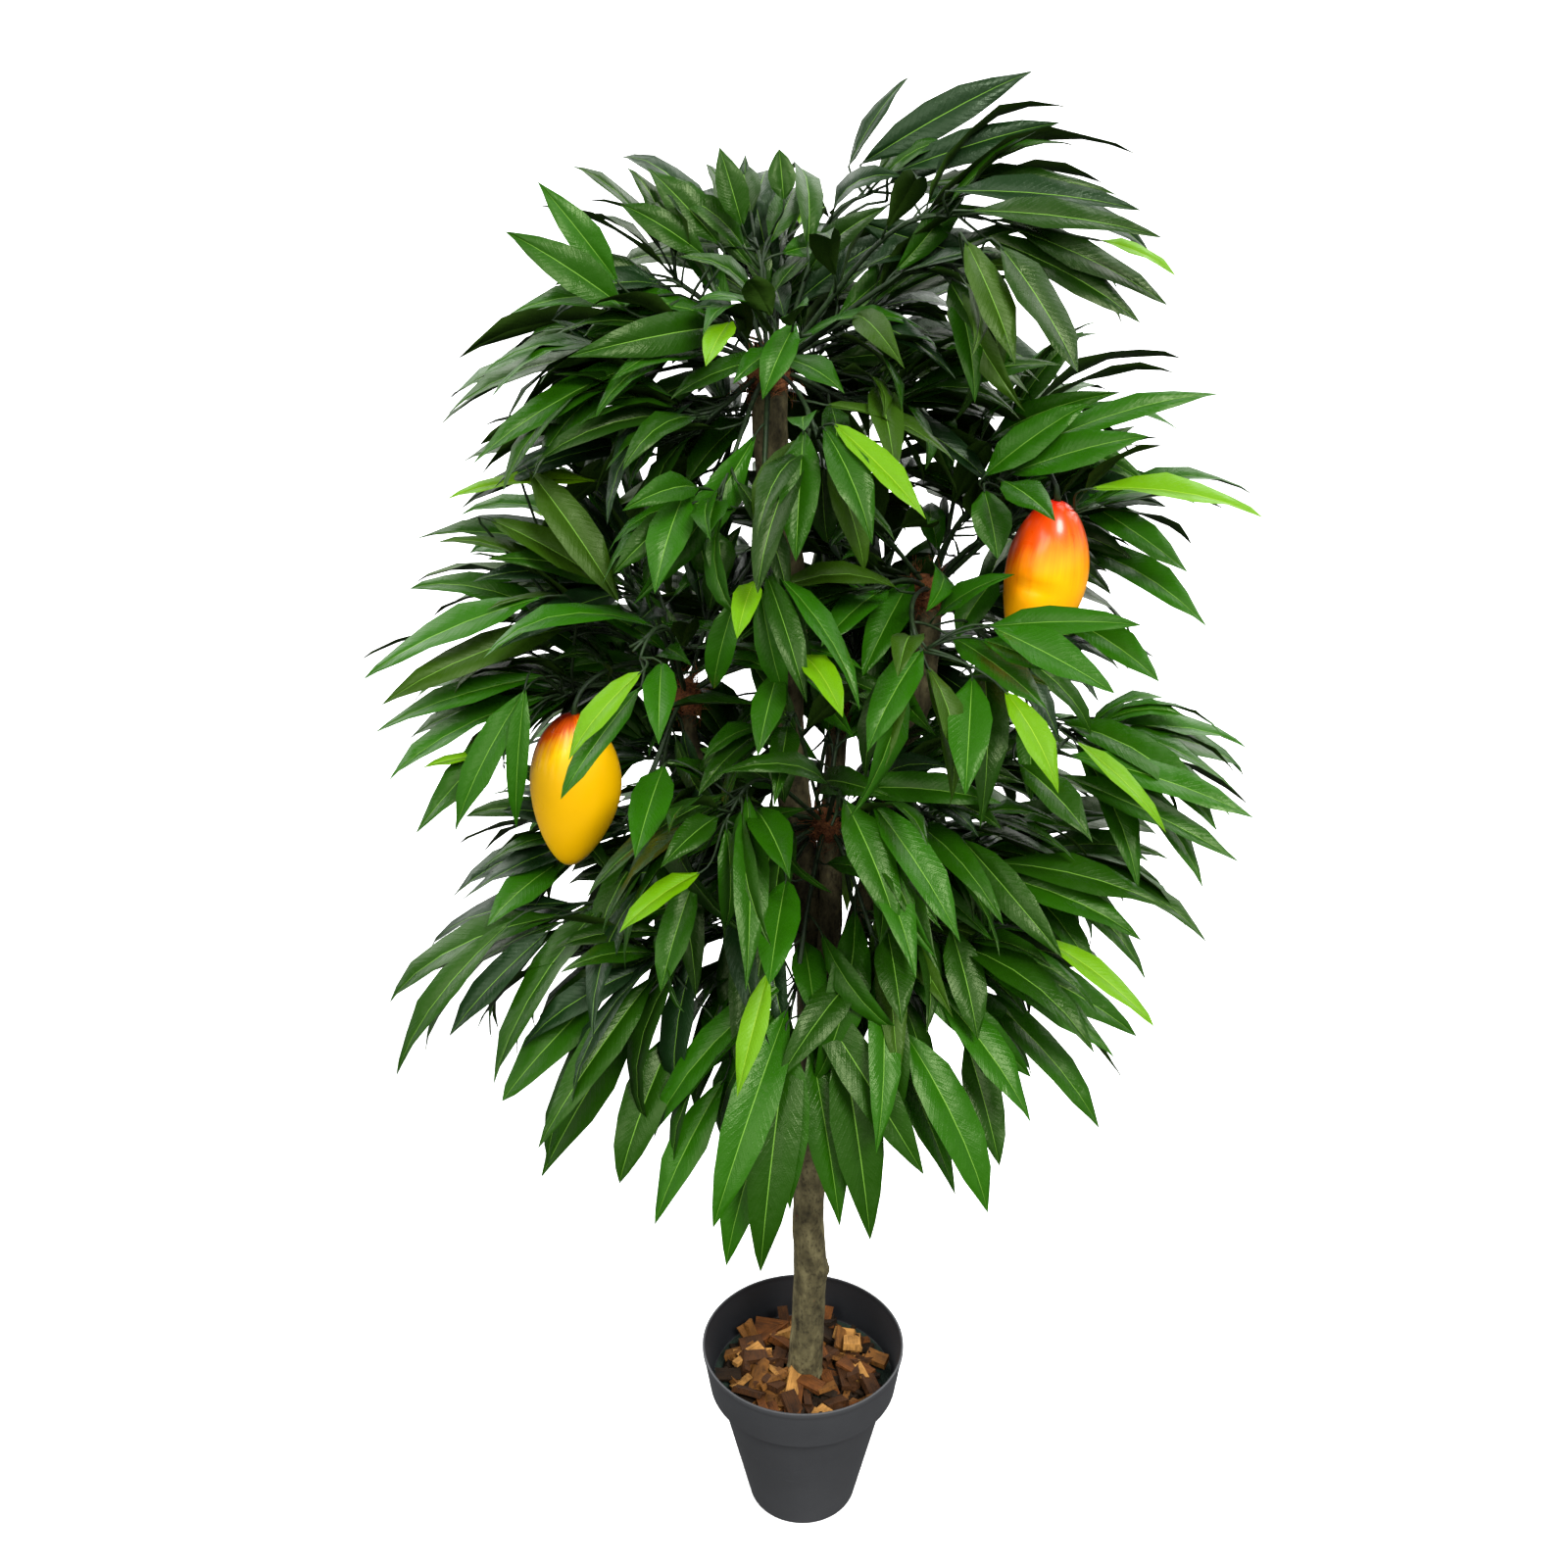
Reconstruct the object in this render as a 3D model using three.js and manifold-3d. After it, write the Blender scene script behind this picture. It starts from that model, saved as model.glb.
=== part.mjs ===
// Artificial mango tree in a nursery pot. Millimetres, +Z up.
// Origin: centre of the pot's flat underside. The front of the tree faces -Y.
//
// A tapering trunk stands on a cast filling inside the pot, under a bed of wood chips.
// Four side poles leave the trunk and, like the trunk, end in a tuft of coconut fibre.
// Stems spring from each tuft and carry the masses of leaves, which are thin drooping fans.

import * as THREE from 'three';
import { mergeVertices } from 'three/addons/utils/BufferGeometryUtils.js';
import Module from 'manifold-3d';

const wasm = await Module();
wasm.setup();

// ---------- driving dimensions ----------

const GAP = 0.3;                    // clearance between neighbouring solids
const LEAF_STEP = [0.3, 0.2, 0.6];  // skewed step that opens the gap where masses of leaves cross
const FIRST_SEED = 101;             // of the masses' uneven lobes
const SLIVER = 0.06;                // edges that may be closed up after a cut

const POT = {
  height: 170,
  rimRadius: 87.5,
  collarHeight: 43,                 // rim collar, down to the step
  collarFootRadius: 81.3,
  shoulderRadius: 73.7,             // body just under the step
  stepHeight: 2.6,
  bodyFootRadius: 47.2,
  footRadius: 45,
  footRound: 2.6,
  wall: 2.1,
  floor: 4,
  sides: 28,
};

const FILL_TOP = 130;               // top of the cast filling, the ground level of the tree
const CHIPS = {
  depth: 8,
  innerRadius: 10,
  outerRadius: 71,
  bevel: 5,                         // width of the sloping edge
  bevelHeight: 0.7,                 // its top, as a share of the depth
  crest: 0.62,                      // radius of the highest ring, as a share of the outer radius
  swell: 6,                         // how far the outline strays in and out
  innerSwell: 0.4,                  // share of that on the inner rings
  ruffle: 2.2,                      // how far the top strays up and down
  seed: 11,
  sides: 20,
};

// Centre line of the trunk: [x, y, z, radius].
const TRUNK = [
  [1.5, 0, FILL_TOP, 16.6],
  [2.5, 0, 146, 15.1],
  [5, 0, 222, 13.9],
  [6, 0, 251, 14.2],
  [4, 0, 300, 13.4],
  [6, 0, 400, 13.2],
  [7.5, 0, 495, 13.6],
  [5, 0, 576, 13.6],
  [-2, 0, 640, 12.9],
  [-10, 0, 713, 12.3],
  [-15, 0, 776, 12],
  [-12, 0, 835, 11.9],
  [-13, 0, 880, 11.8],
  [-21, 0, 927, 12],
  [-26, 0, 980, 12.2],
  [-26, 0, 1027, 12.2],
];

// Side poles: the same four numbers for each point, from inside the trunk upwards.
const POLES = {
  pole_front: [[8, -9, 545, 8.4], [16, -16, 570, 8.8], [19, -19, 606, 8.8], [18.5, -17, 652, 8.6],
    [15, -16, 690, 8.4]],
  pole_right: [[12, 2, 515, 9.5], [30, 5, 540, 10.4], [59, 12, 657, 10.2], [73.5, 18, 737, 10],
    [85.5, 20, 784, 9.9], [88.5, 20, 862, 9.7]],
  pole_left: [[-2, 0, 585, 6.5], [-24, 4, 606, 7], [-61, 8, 667, 6.6], [-85, 10, 741, 6],
    [-88, 10, 784, 5.8]],
  pole_back: [[5, 4, 530, 8.5], [10, 22, 560, 8.8], [18, 45, 640, 8.4], [24, 62, 715, 8],
    [25, 66, 745, 7.8]],
};
const LIMB_SIDES = 10;
const POLE_SIDES = 8;

// Coconut-fibre tufts, each wrapped over the end of its limb.
const TUFT = {
  reach: 9,                         // above the cut end of the limb
  overlap: 16,                      // down the limb
  girth: 4.6,                       // beyond the limb's radius
  outline: [[0.86, 0], [1, 0.38], [0.9, 0.82], [0.5, 1]],  // shares of the girth and of the height
  lumpiness: 0.07,
  stemDrop: 3.2,                    // below the cut end, where the stems of the leaves spring
  seed: 20,
  sides: 10,
};

// Masses of leaves, under the limb whose tuft they spring from. Each is a fan of pointed lobes:
// [hub x, y, z, heading deg (0 = right, 90 = back), pitch deg, reach, half spread deg, lobes,
// roll deg of the fan about its heading (0 = level)].
const MASSES = {
  trunk: {
    top_right_high: [30, 22, 1134, 12, 36, 124, 38, 6, 36],
    top_right: [84, -32, 1134, -3, -7, 156, 44, 7, 6],
    top_right_drop: [98, -46, 1098, -42, -47, 112, 34, 5, 0],
    top_centre: [-34, 18, 1102, 98, 33, 104, 62, 7, 0],
    top_left: [-62, -6, 1068, 181, 24, 150, 38, 6, 0],
    upper_left: [-110, -2, 1034, 183, -8, 158, 46, 7, 0],
    shoulder_left: [-90, -6, 978, 183, -4, 164, 42, 7, 0],
    crown_right: [42, -32, 1006, -20, -5, 140, 48, 7, 0],
    crown_left: [-59, -80, 967, 238, -38, 122, 46, 6, 0],
    front_top: [3, -100, 1014, -74, -40, 130, 50, 7, 0],
    front_centre: [-33, -100, 929, -98, -44, 130, 46, 6, 0],
    top_back: [-18, 70, 1088, 92, -3, 158, 52, 7, 0],
    top_back_left: [-80, 66, 1030, 140, -14, 158, 44, 6, 0],
    top_back_right: [48, 70, 1036, 44, -12, 158, 42, 6, 0],
  },
  pole_right: {
    right_top: [124, 26, 966, 12, 18, 154, 42, 6, 0],
    right_high: [170, -32, 936, -19, -12, 146, 52, 7, 0],
    right_shoulder: [132, -26, 838, -16, -12, 130, 48, 6, 0],
    right_middle: [190, -14, 762, -6, -21, 150, 48, 7, 8],
    front_right_high: [70, -114, 878, -72, -39, 136, 48, 7, 0],
    centre_right: [54, -38, 886, 206, -12, 98, 48, 6, 0],
    back_right_high: [122, 76, 902, 46, 2, 158, 46, 6, 0],
    back_right: [124, 88, 806, 50, -24, 166, 44, 6, 0],
  },
  pole_left: {
    left_top: [-122, -2, 868, 178, 26, 150, 42, 6, 0],
    left_high: [-150, -26, 852, 186, -10, 166, 48, 7, 0],
    left_middle: [-166, -24, 800, 198, -23, 156, 50, 7, 0],
    front_left_high: [-109, -108, 874, -138, -36, 128, 46, 7, 0],
    left_drop: [-122, -44, 722, 216, -41, 132, 38, 6, 0],
    back_left_high: [-124, 72, 856, 140, 2, 158, 46, 6, 0],
    back_left: [-122, 86, 762, 132, -24, 166, 44, 6, 0],
  },
  pole_front: {
    front_right_low: [23, -116, 755, -84, -38, 138, 44, 7, 0],
    front_left_low: [-47, -116, 762, -124, -39, 150, 44, 7, 0],
    right_low: [138, -12, 660, -6, -18, 166, 46, 7, 0],
    right_inner: [92, -54, 712, -38, -24, 146, 40, 6, 0],
    skirt_right: [96, -62, 618, -26, -32, 174, 46, 7, 0],
    skirt_front_right: [60, -86, 602, -47, -46, 184, 40, 6, 0],
    skirt_front: [-8, -104, 601, -102, -52, 188, 44, 7, 0],
    skirt_front_left: [-90, -84, 622, -150, -42, 188, 44, 7, 0],
    skirt_left: [-159, -44, 632, 190, -38, 186, 40, 6, 0],
    left_low: [-140, 16, 664, 176, -14, 146, 40, 6, 0],
  },
  pole_back: {
    back_high: [14, 132, 872, 90, -8, 162, 50, 7, 0],
    back_middle: [8, 132, 770, 96, -26, 168, 50, 7, 0],
    back_right_low: [116, 70, 690, 34, -26, 168, 46, 7, 0],
    back_left_low: [-108, 78, 702, 142, -26, 166, 44, 7, 0],
    skirt_back_right: [78, 92, 610, 50, -42, 186, 42, 6, 0],
    skirt_back_left: [-68, 96, 606, 132, -42, 186, 42, 6, 0],
    skirt_back: [6, 112, 590, 91, -50, 186, 44, 6, 0],
  },
};
const PAD = {
  hubHalf: 8.5,                     // half thickness at the hub
  midway: 0.5,                      // where a lobe's middle ring lies, as a share of its length
  midHalf: 5.2,                     // half thickness there
  midUneven: 0.25,                  // share by which that half thickness strays
  notchHalf: 2.6,
  tipHalf: 1.3,
  notchReach: 0.6,                  // notch between two lobes, as a share of their reach
  arch: 0.13,                       // rise of a lobe over its chord, as a share of its length
  sideDroop: 16,                    // degrees that the outermost lobes hang lower
  sideShort: 0.16,                  // share by which the outermost lobes are shorter
  shoulder: 11,                     // half width of the fan where its stem joins it
  shoulderBack: 5.5,                // how far behind the hub that is
  stray: 4,                         // degrees that a lobe strays either way
  unevenness: 0.09,                 // share of its reach that a lobe strays either way
};

// ---------- colours ----------

const material = (color, roughness, metalness = 0) =>
  new THREE.MeshStandardMaterial({ color, roughness, metalness });

const CHARCOAL = material(0x2e3033, 0.55);
const CEMENT = material(0x1c2b24, 0.9);
const CHIP = material(0xa5652c, 0.85);
const BARK = material(0x6d6450, 0.8);
const COIR = material(0x7a4e2a, 0.95);
const LEAF_SHADES = [0x1f4d22, 0x2a6326, 0x17401f, 0x34702b].map((c) => material(c, 0.5));

// ---------- solids ----------

/** Repeatable random numbers between -1 and 1. */
function seededNoise(seed) {
  let state = seed >>> 0;
  return () => {
    state = (Math.imul(state, 1664525) + 1013904223) >>> 0;
    return state / 2147483648 - 1;
  };
}

/** Turns a closed geometry into a solid that can be cut. */
function toSolid(geometry) {
  const bare = geometry.clone();
  bare.deleteAttribute('normal');
  bare.deleteAttribute('uv');
  const merged = mergeVertices(bare, 1e-4);
  return new wasm.Manifold(new wasm.Mesh({
    numProp: 3,
    vertProperties: new Float32Array(merged.attributes.position.array),
    triVerts: new Uint32Array(merged.index.array),
  }));
}

/** Turns a solid back into a geometry with flat-shaded normals. */
function toGeometry(solid) {
  const mesh = solid.getMesh();
  const geometry = new THREE.BufferGeometry();
  geometry.setAttribute('position', new THREE.BufferAttribute(mesh.vertProperties, 3));
  geometry.setIndex(new THREE.BufferAttribute(mesh.triVerts, 1));
  geometry.computeVertexNormals();
  return geometry;
}

/** The largest separate piece of a solid. */
function largestPiece(solid) {
  return solid.simplify(SLIVER).decompose().reduce((a, b) => (b.volume() > a.volume() ? b : a));
}

/** Cuts a solid by another one, with a clearance, by cutting it by copies moved up and down. */
function cutClear(solid, other) {
  if (solid.minGap(other, GAP) >= GAP) return solid;
  const back = LEAF_STEP.map((step) => -step);
  return solid.subtract(other).subtract(other.translate(LEAF_STEP)).subtract(other.translate(back));
}

/** Lathe about Z from [radius, z] pairs, which start and end on the axis or close. */
function turned(profile, sides) {
  const points = profile.map(([r, z]) => new THREE.Vector2(r, z));
  return new THREE.LatheGeometry(points, sides).rotateX(Math.PI / 2);
}

/** Which of a turned solid's slices a point lies in, counted from where the turning starts. */
function sliceOf(x, y, sides) {
  const turnedBy = (Math.atan2(y, x) + Math.PI / 2) / (2 * Math.PI);
  return Math.round((turnedBy + 1) * sides) % sides;
}

/** A limb turned about Z, with every ring then moved to its place on the centre line. */
function limb(line, sides, extra = 0) {
  const profile = line.map(([, , z, r]) => [r + extra, z]);
  const foot = line[0][2] - extra;
  const tip = line[line.length - 1][2] + extra;
  profile[0][1] = foot;
  profile[profile.length - 1][1] = tip;
  const geometry = turned([[0, foot], ...profile, [0, tip]], sides);
  const position = geometry.attributes.position;
  for (let i = 0; i < position.count; i += 1) {
    const [x, y] = centreAt(line, position.getZ(i));
    position.setXY(i, position.getX(i) + x, position.getY(i) + y);
  }
  return geometry;
}

/** Centre of a limb at a height, along straight stretches between its points. */
function centreAt(line, z) {
  const last = line.length - 1;
  const upper = line.findIndex((p) => p[2] >= z);
  if (upper === 0) return [line[0][0], line[0][1]];
  if (upper < 0) return [line[last][0], line[last][1]];
  const [a, b] = [line[upper - 1], line[upper]];
  const t = (z - a[2]) / (b[2] - a[2]);
  return [a[0] + t * (b[0] - a[0]), a[1] + t * (b[1] - a[1])];
}

/** Tuft over the end of a limb: a lumpy, rounded plug. */
function tuft(line, seed, extra = 0) {
  const [x, y, z, r] = line[line.length - 1];
  const { reach, overlap, girth, outline, lumpiness, sides } = TUFT;
  const foot = z - overlap - extra;
  const height = reach + overlap + 2 * extra;
  const profile = outline.map(([wide, up]) => [wide * (r + girth + extra), foot + up * height]);
  const geometry = turned([[0, foot], ...profile, [0, foot + height]], sides);
  const noise = seededNoise(seed);
  const lumps = Array.from({ length: sides }, () => 1 + lumpiness * noise());
  const position = geometry.attributes.position;
  for (let i = 0; i < position.count; i += 1) {
    const lump = lumps[sliceOf(position.getX(i), position.getY(i), sides)];
    position.setXY(i, x + position.getX(i) * lump, y + position.getY(i) * lump);
  }
  return geometry;
}

/** Pot shell: rim collar over a tapering body, open at the top. */
function pot() {
  const p = POT;
  const step = p.height - p.collarHeight;
  const shoulder = step - p.stepHeight;
  return turned([
    [0, 0],
    [p.footRadius, 0],
    [p.bodyFootRadius, p.footRound],
    [p.shoulderRadius, shoulder],
    [p.collarFootRadius, step],
    [p.rimRadius, p.height],
    [p.rimRadius - p.wall, p.height],
    [p.collarFootRadius - p.wall, step + p.wall],
    [p.shoulderRadius - p.wall, shoulder + p.wall],
    [p.bodyFootRadius - p.wall, p.floor],
    [0, p.floor],
  ], p.sides);
}

/** Cast filling that holds the trunk, inside the shell. */
function potFill() {
  const p = POT;
  const inset = p.wall + 2 * GAP;
  const step = p.height - p.collarHeight + p.wall;
  const shoulder = step - p.stepHeight;
  const slope = (p.rimRadius - p.collarFootRadius) / p.collarHeight;
  return turned([
    [0, p.floor],
    [p.bodyFootRadius - inset, p.floor],
    [p.shoulderRadius - inset, shoulder],
    [p.collarFootRadius - inset, step + GAP],
    [p.collarFootRadius - inset + slope * (FILL_TOP - step), FILL_TOP],
    [0, FILL_TOP],
  ], p.sides);
}

/** Bed of wood chips: an uneven ring round the foot of the trunk. */
function chipBed(trunkGrown) {
  const c = CHIPS;
  const low = FILL_TOP + GAP;
  const geometry = turned([
    [c.innerRadius, low],
    [c.outerRadius, low],
    [c.outerRadius - c.bevel, low + c.depth * c.bevelHeight],
    [c.outerRadius * c.crest, low + c.depth],
    [c.innerRadius, low + c.depth],
    [c.innerRadius, low],
  ], c.sides);
  const noise = seededNoise(c.seed);
  const swell = Array.from({ length: c.sides }, () => c.swell * noise());
  const ruffle = Array.from({ length: c.sides * 2 }, () => c.ruffle * noise());
  const position = geometry.attributes.position;
  for (let i = 0; i < position.count; i += 1) {
    const [x, y, z] = [position.getX(i), position.getY(i), position.getZ(i)];
    const radius = Math.hypot(x, y);
    if (radius < c.innerRadius + 1) continue;
    const slice = sliceOf(x, y, c.sides);
    const edge = radius > c.outerRadius - 2 * c.bevel;
    const outward = edge ? Math.min(0, swell[slice]) : swell[slice] * c.innerSwell;
    const scale = (radius + outward) / radius;
    const lift = z > low + 1 ? ruffle[edge ? slice : slice + c.sides] : 0;
    position.setXYZ(i, x * scale, y * scale, z + lift);
  }
  return largestPiece(toSolid(geometry).subtract(trunkGrown));
}

/** Unit vector from a heading and a pitch in degrees. */
function aim(heading, pitch) {
  const [h, p] = [heading, pitch].map(THREE.MathUtils.degToRad);
  return new THREE.Vector3(Math.cos(p) * Math.cos(h), Math.cos(p) * Math.sin(h), Math.sin(p));
}

/**
 * Rim of one mass, as vectors from its hub, in order round it: a pointed lobe for each spray of
 * leaves with a notch between neighbours, then the stem that runs back to the tuft.
 */
function rimOf(spec, tuftCentre, noise) {
  const [x, y, z, heading, pitch, reach, spread, lobes, roll] = spec;
  const hub = new THREE.Vector3(x, y, z);
  const ahead = aim(heading, pitch);
  const level = aim(heading + 90, 0);
  const face = ahead.clone().cross(level);
  const tilt = THREE.MathUtils.degToRad(roll);
  const across = level.clone().multiplyScalar(Math.cos(tilt)).addScaledVector(face, Math.sin(tilt));
  const tips = Array.from({ length: lobes }, (_, i) => {
    const side = (2 * i) / (lobes - 1) - 1;
    const swing = THREE.MathUtils.degToRad(side * spread + noise() * PAD.stray);
    const droop = THREE.MathUtils.degToRad(PAD.sideDroop * side * side + noise() * PAD.stray);
    const length = reach * (1 - PAD.sideShort * side * side + PAD.unevenness * noise());
    const tip = ahead.clone().multiplyScalar(Math.cos(swing)).addScaledVector(across, Math.sin(swing));
    tip.z -= Math.sin(droop);
    return tip.setLength(length);
  });
  const rim = [];
  tips.forEach((tip, i) => {
    rim.push({ at: tip, half: PAD.tipHalf, lobe: true });
    if (i === lobes - 1) return;
    const notch = tip.clone().add(tips[i + 1]).multiplyScalar(PAD.notchReach / 2);
    rim.push({ at: notch, half: PAD.notchHalf, lobe: true });
  });
  const stem = tuftCentre.clone().sub(hub);
  const back = stem.clone().setLength(PAD.shoulderBack);
  const edge = level.multiplyScalar(PAD.shoulder);
  rim.push({ at: back.clone().add(edge), half: PAD.notchHalf, lobe: false });
  rim.push({ at: stem, half: PAD.tipHalf, lobe: false });
  rim.push({ at: back.clone().sub(edge), half: PAD.notchHalf, lobe: false });
  return { hub, rim, face };
}

/** One mass of leaves: a closed, lobed, arching pad round its hub, drawn out into a stem. */
function mass(spec, tuftCentre, seed) {
  const noise = seededNoise(seed);
  const { hub, rim, face } = rimOf(spec, tuftCentre, noise);
  const count = rim.length;
  const rings = [[], [], [], []];   // half way and rim of the upper face, then of the lower one
  rim.forEach(({ at, half, lobe }) => {
    const along = at.clone().normalize();
    const up = face.clone().addScaledVector(along, -face.dot(along)).normalize();
    const rise = lobe ? PAD.arch * at.length() : 0;
    const mid = at.clone().multiplyScalar(PAD.midway).addScaledVector(up, rise);
    const midHalf = (lobe ? PAD.midHalf : PAD.notchHalf) * (1 + PAD.midUneven * noise());
    rings[0].push(mid.clone().addScaledVector(up, midHalf));
    rings[1].push(at.clone().addScaledVector(up, half));
    rings[2].push(mid.clone().addScaledVector(up, -midHalf));
    rings[3].push(at.clone().addScaledVector(up, -half));
  });
  const crown = face.clone().multiplyScalar(PAD.hubHalf);
  const points = [...rings.flat(), crown, crown.clone().negate()].map((p) => p.add(hub));
  const index = [];
  const ring = (k, i) => k * count + (i % count);
  for (let i = 0; i < count; i += 1) {
    const [a, b, c, d] = [ring(0, i), ring(1, i), ring(1, i + 1), ring(0, i + 1)];
    const [e, f, g, h] = [ring(2, i), ring(3, i), ring(3, i + 1), ring(2, i + 1)];
    index.push(4 * count, a, d, 4 * count + 1, h, e);
    // Both faces fold along the same line, from the middle of the lobe to its notch.
    if (i % 2 === 0) index.push(a, b, c, a, c, d, e, g, f, e, h, g);
    else index.push(a, b, d, b, c, d, e, h, f, f, h, g);
    index.push(b, f, g, b, g, c);
  }
  const geometry = new THREE.BufferGeometry().setFromPoints(points);
  geometry.setIndex(index);
  return geometry;
}

// ---------- assembly ----------

const group = new THREE.Group();

/** Adds one named piece to the tree. */
function addPiece(name, geometry, look) {
  const mesh = new THREE.Mesh(geometry, look);
  mesh.name = name;
  group.add(mesh);
}

const limbs = { trunk: TRUNK, ...POLES };
const kept = [];                    // grown copies of what later pieces have to clear

addPiece('pot', pot(), CHARCOAL);
addPiece('pot_fill', potFill(), CEMENT);
addPiece('trunk', limb(TRUNK, LIMB_SIDES), BARK);
const trunkGrown = toSolid(limb(TRUNK, LIMB_SIDES, GAP));
addPiece('chip_bed', toGeometry(chipBed(trunkGrown)), CHIP);
kept.push(trunkGrown);

for (const [name, line] of Object.entries(POLES)) {
  const solid = kept.reduce((left, other) => left.subtract(other), toSolid(limb(line, POLE_SIDES)));
  addPiece(name, toGeometry(largestPiece(solid)), BARK);
  kept.push(toSolid(limb(line, POLE_SIDES, GAP)));
}

Object.entries(limbs).forEach(([name, line], i) => {
  const solid = kept.reduce((left, other) => left.subtract(other), toSolid(tuft(line, TUFT.seed + i)));
  addPiece(`coir_${name}`, toGeometry(largestPiece(solid)), COIR);
});
Object.values(limbs).forEach((line, i) => kept.push(toSolid(tuft(line, TUFT.seed + i, GAP))));

const leaves = [];
for (const [limbName, masses] of Object.entries(MASSES)) {
  const [x, y, z] = limbs[limbName].at(-1);
  const tuftCentre = new THREE.Vector3(x, y, z - TUFT.stemDrop);
  for (const [name, spec] of Object.entries(masses)) {
    const seed = FIRST_SEED + leaves.length;
    const whole = toSolid(mass(spec, tuftCentre, seed));
    const clear = kept.reduce((left, other) => left.subtract(other), whole);
    const solid = largestPiece(leaves.reduce(cutClear, clear));
    addPiece(`leaves_${name}`, toGeometry(solid), LEAF_SHADES[seed % LEAF_SHADES.length]);
    leaves.push(solid);
  }
}

export default group;
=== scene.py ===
"""Artificial mango tree in a nursery pot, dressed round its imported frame. Metres, +Z up, front at -Y."""

import logging
import math
import random
from collections.abc import Iterator, Sequence
from dataclasses import dataclass, field
from enum import Enum
from typing import Protocol

import bmesh
import bpy
from mathutils import Matrix, Vector, noise


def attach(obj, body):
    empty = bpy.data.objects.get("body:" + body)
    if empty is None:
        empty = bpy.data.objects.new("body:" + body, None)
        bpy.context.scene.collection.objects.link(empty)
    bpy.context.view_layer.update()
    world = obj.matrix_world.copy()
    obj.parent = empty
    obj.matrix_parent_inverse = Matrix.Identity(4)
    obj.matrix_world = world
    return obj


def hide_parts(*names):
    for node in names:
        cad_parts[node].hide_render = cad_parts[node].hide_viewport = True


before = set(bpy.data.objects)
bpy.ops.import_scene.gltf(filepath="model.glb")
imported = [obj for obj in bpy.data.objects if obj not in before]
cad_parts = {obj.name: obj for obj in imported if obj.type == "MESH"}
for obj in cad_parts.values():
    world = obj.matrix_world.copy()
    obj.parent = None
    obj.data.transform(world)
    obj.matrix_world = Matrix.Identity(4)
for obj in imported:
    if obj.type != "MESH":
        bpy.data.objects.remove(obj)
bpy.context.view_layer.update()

LOG = logging.getLogger("mango_tree")
BODY = "root"
UP = Vector((0.0, 0.0, 1.0))
WHITE = (1.0, 1.0, 1.0, 1.0)

# The heading and the pitch that each light comes from, in degrees.
KEY_LIGHT = (-60.0, 48.0)
FILL_LIGHT = (-125.0, 36.0)
BACK_LIGHT = (48.0, 38.0)
SIDE_LIGHT = (138.0, 36.0)

Colour = tuple[float, float, float, float]
Place = tuple[float, float, float]
Span = tuple[float, float]
Sight = tuple[int, int, float]
BMesh = bmesh.types.BMesh
Material = bpy.types.Material
Socket = bpy.types.NodeSocket


@dataclass(frozen=True)
class View:
    """The camera: it faces +Y and looks down on the tree. The frame's size is in pixels."""

    eye: Place = (-0.0165, -1.309, 1.369)
    look_down: float = 26.62
    lens: float = 45.0
    sensor: float = 36.0
    frame_size: float = 1600.0

    def place(self, sight: Sight) -> Vector:
        """Finds the place that shows at a point of the camera's square frame.

        Args:
            sight: Pixels from the frame's left and from its top, and the Y that the place lies at.

        Returns:
            The place.
        """
        across, down, depth = sight
        focal = self.frame_size * self.lens / self.sensor
        right = (across - self.frame_size / 2) / focal
        rise = (self.frame_size / 2 - down) / focal
        pitch = math.radians(self.look_down)
        ahead = math.cos(pitch) + rise * math.sin(pitch)
        ray = Vector((right, ahead, rise * math.cos(pitch) - math.sin(pitch)))
        eye = Vector(self.eye)
        return eye + ray * ((depth - eye.y) / ray.y)


VIEW = View()
EYE = Vector(VIEW.eye)


# ---------- small helpers ----------

MERGE_STRANDS = 1e-7
MERGE_LATHE = 1e-6
ARC_LIMIT = 0.45


def srgb(*levels: int) -> Colour:
    """A colour as seen on a screen, turned into the linear values that shaders take.

    Args:
        levels: Red, green and blue, from 0 to 255.

    Returns:
        Linear red, green and blue, and an alpha of 1.
    """
    shares = [level / 255 for level in levels]
    linear = [s / 12.92 if s <= 0.04045 else ((s + 0.055) / 1.055) ** 2.4 for s in shares]
    return (*linear, 1.0)


def aim(heading: float, pitch: float) -> Vector:
    """A unit vector from a heading (0 = right, 90 = back) and a pitch, in degrees."""
    h, p = math.radians(heading), math.radians(pitch)
    return Vector((math.cos(p) * math.cos(h), math.cos(p) * math.sin(h), math.sin(p)))


def square_to(vector: Vector, along: Vector) -> Vector:
    """The unit vector nearest to a vector that stands square to a direction."""
    return (vector - along * vector.dot(along)).normalized()


def bezier(points: Sequence[Vector], share: float) -> tuple[Vector, Vector]:
    """A point on a cubic curve.

    Args:
        points: The curve's four control points.
        share: Where along it, from 0 to 1.

    Returns:
        The point and the unit tangent there.
    """
    a, b, c, d = points
    rest = 1 - share
    place = a * rest**3 + b * (3 * rest * rest * share) + c * (3 * rest * share * share) + d * share**3
    slope = (b - a) * (rest * rest) + (c - b) * (2 * rest * share) + (d - c) * (share * share)
    return place, slope.normalized()


def show(thing: bpy.types.Object) -> None:
    """Puts an object into the scene."""
    bpy.context.scene.collection.objects.link(thing)


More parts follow.
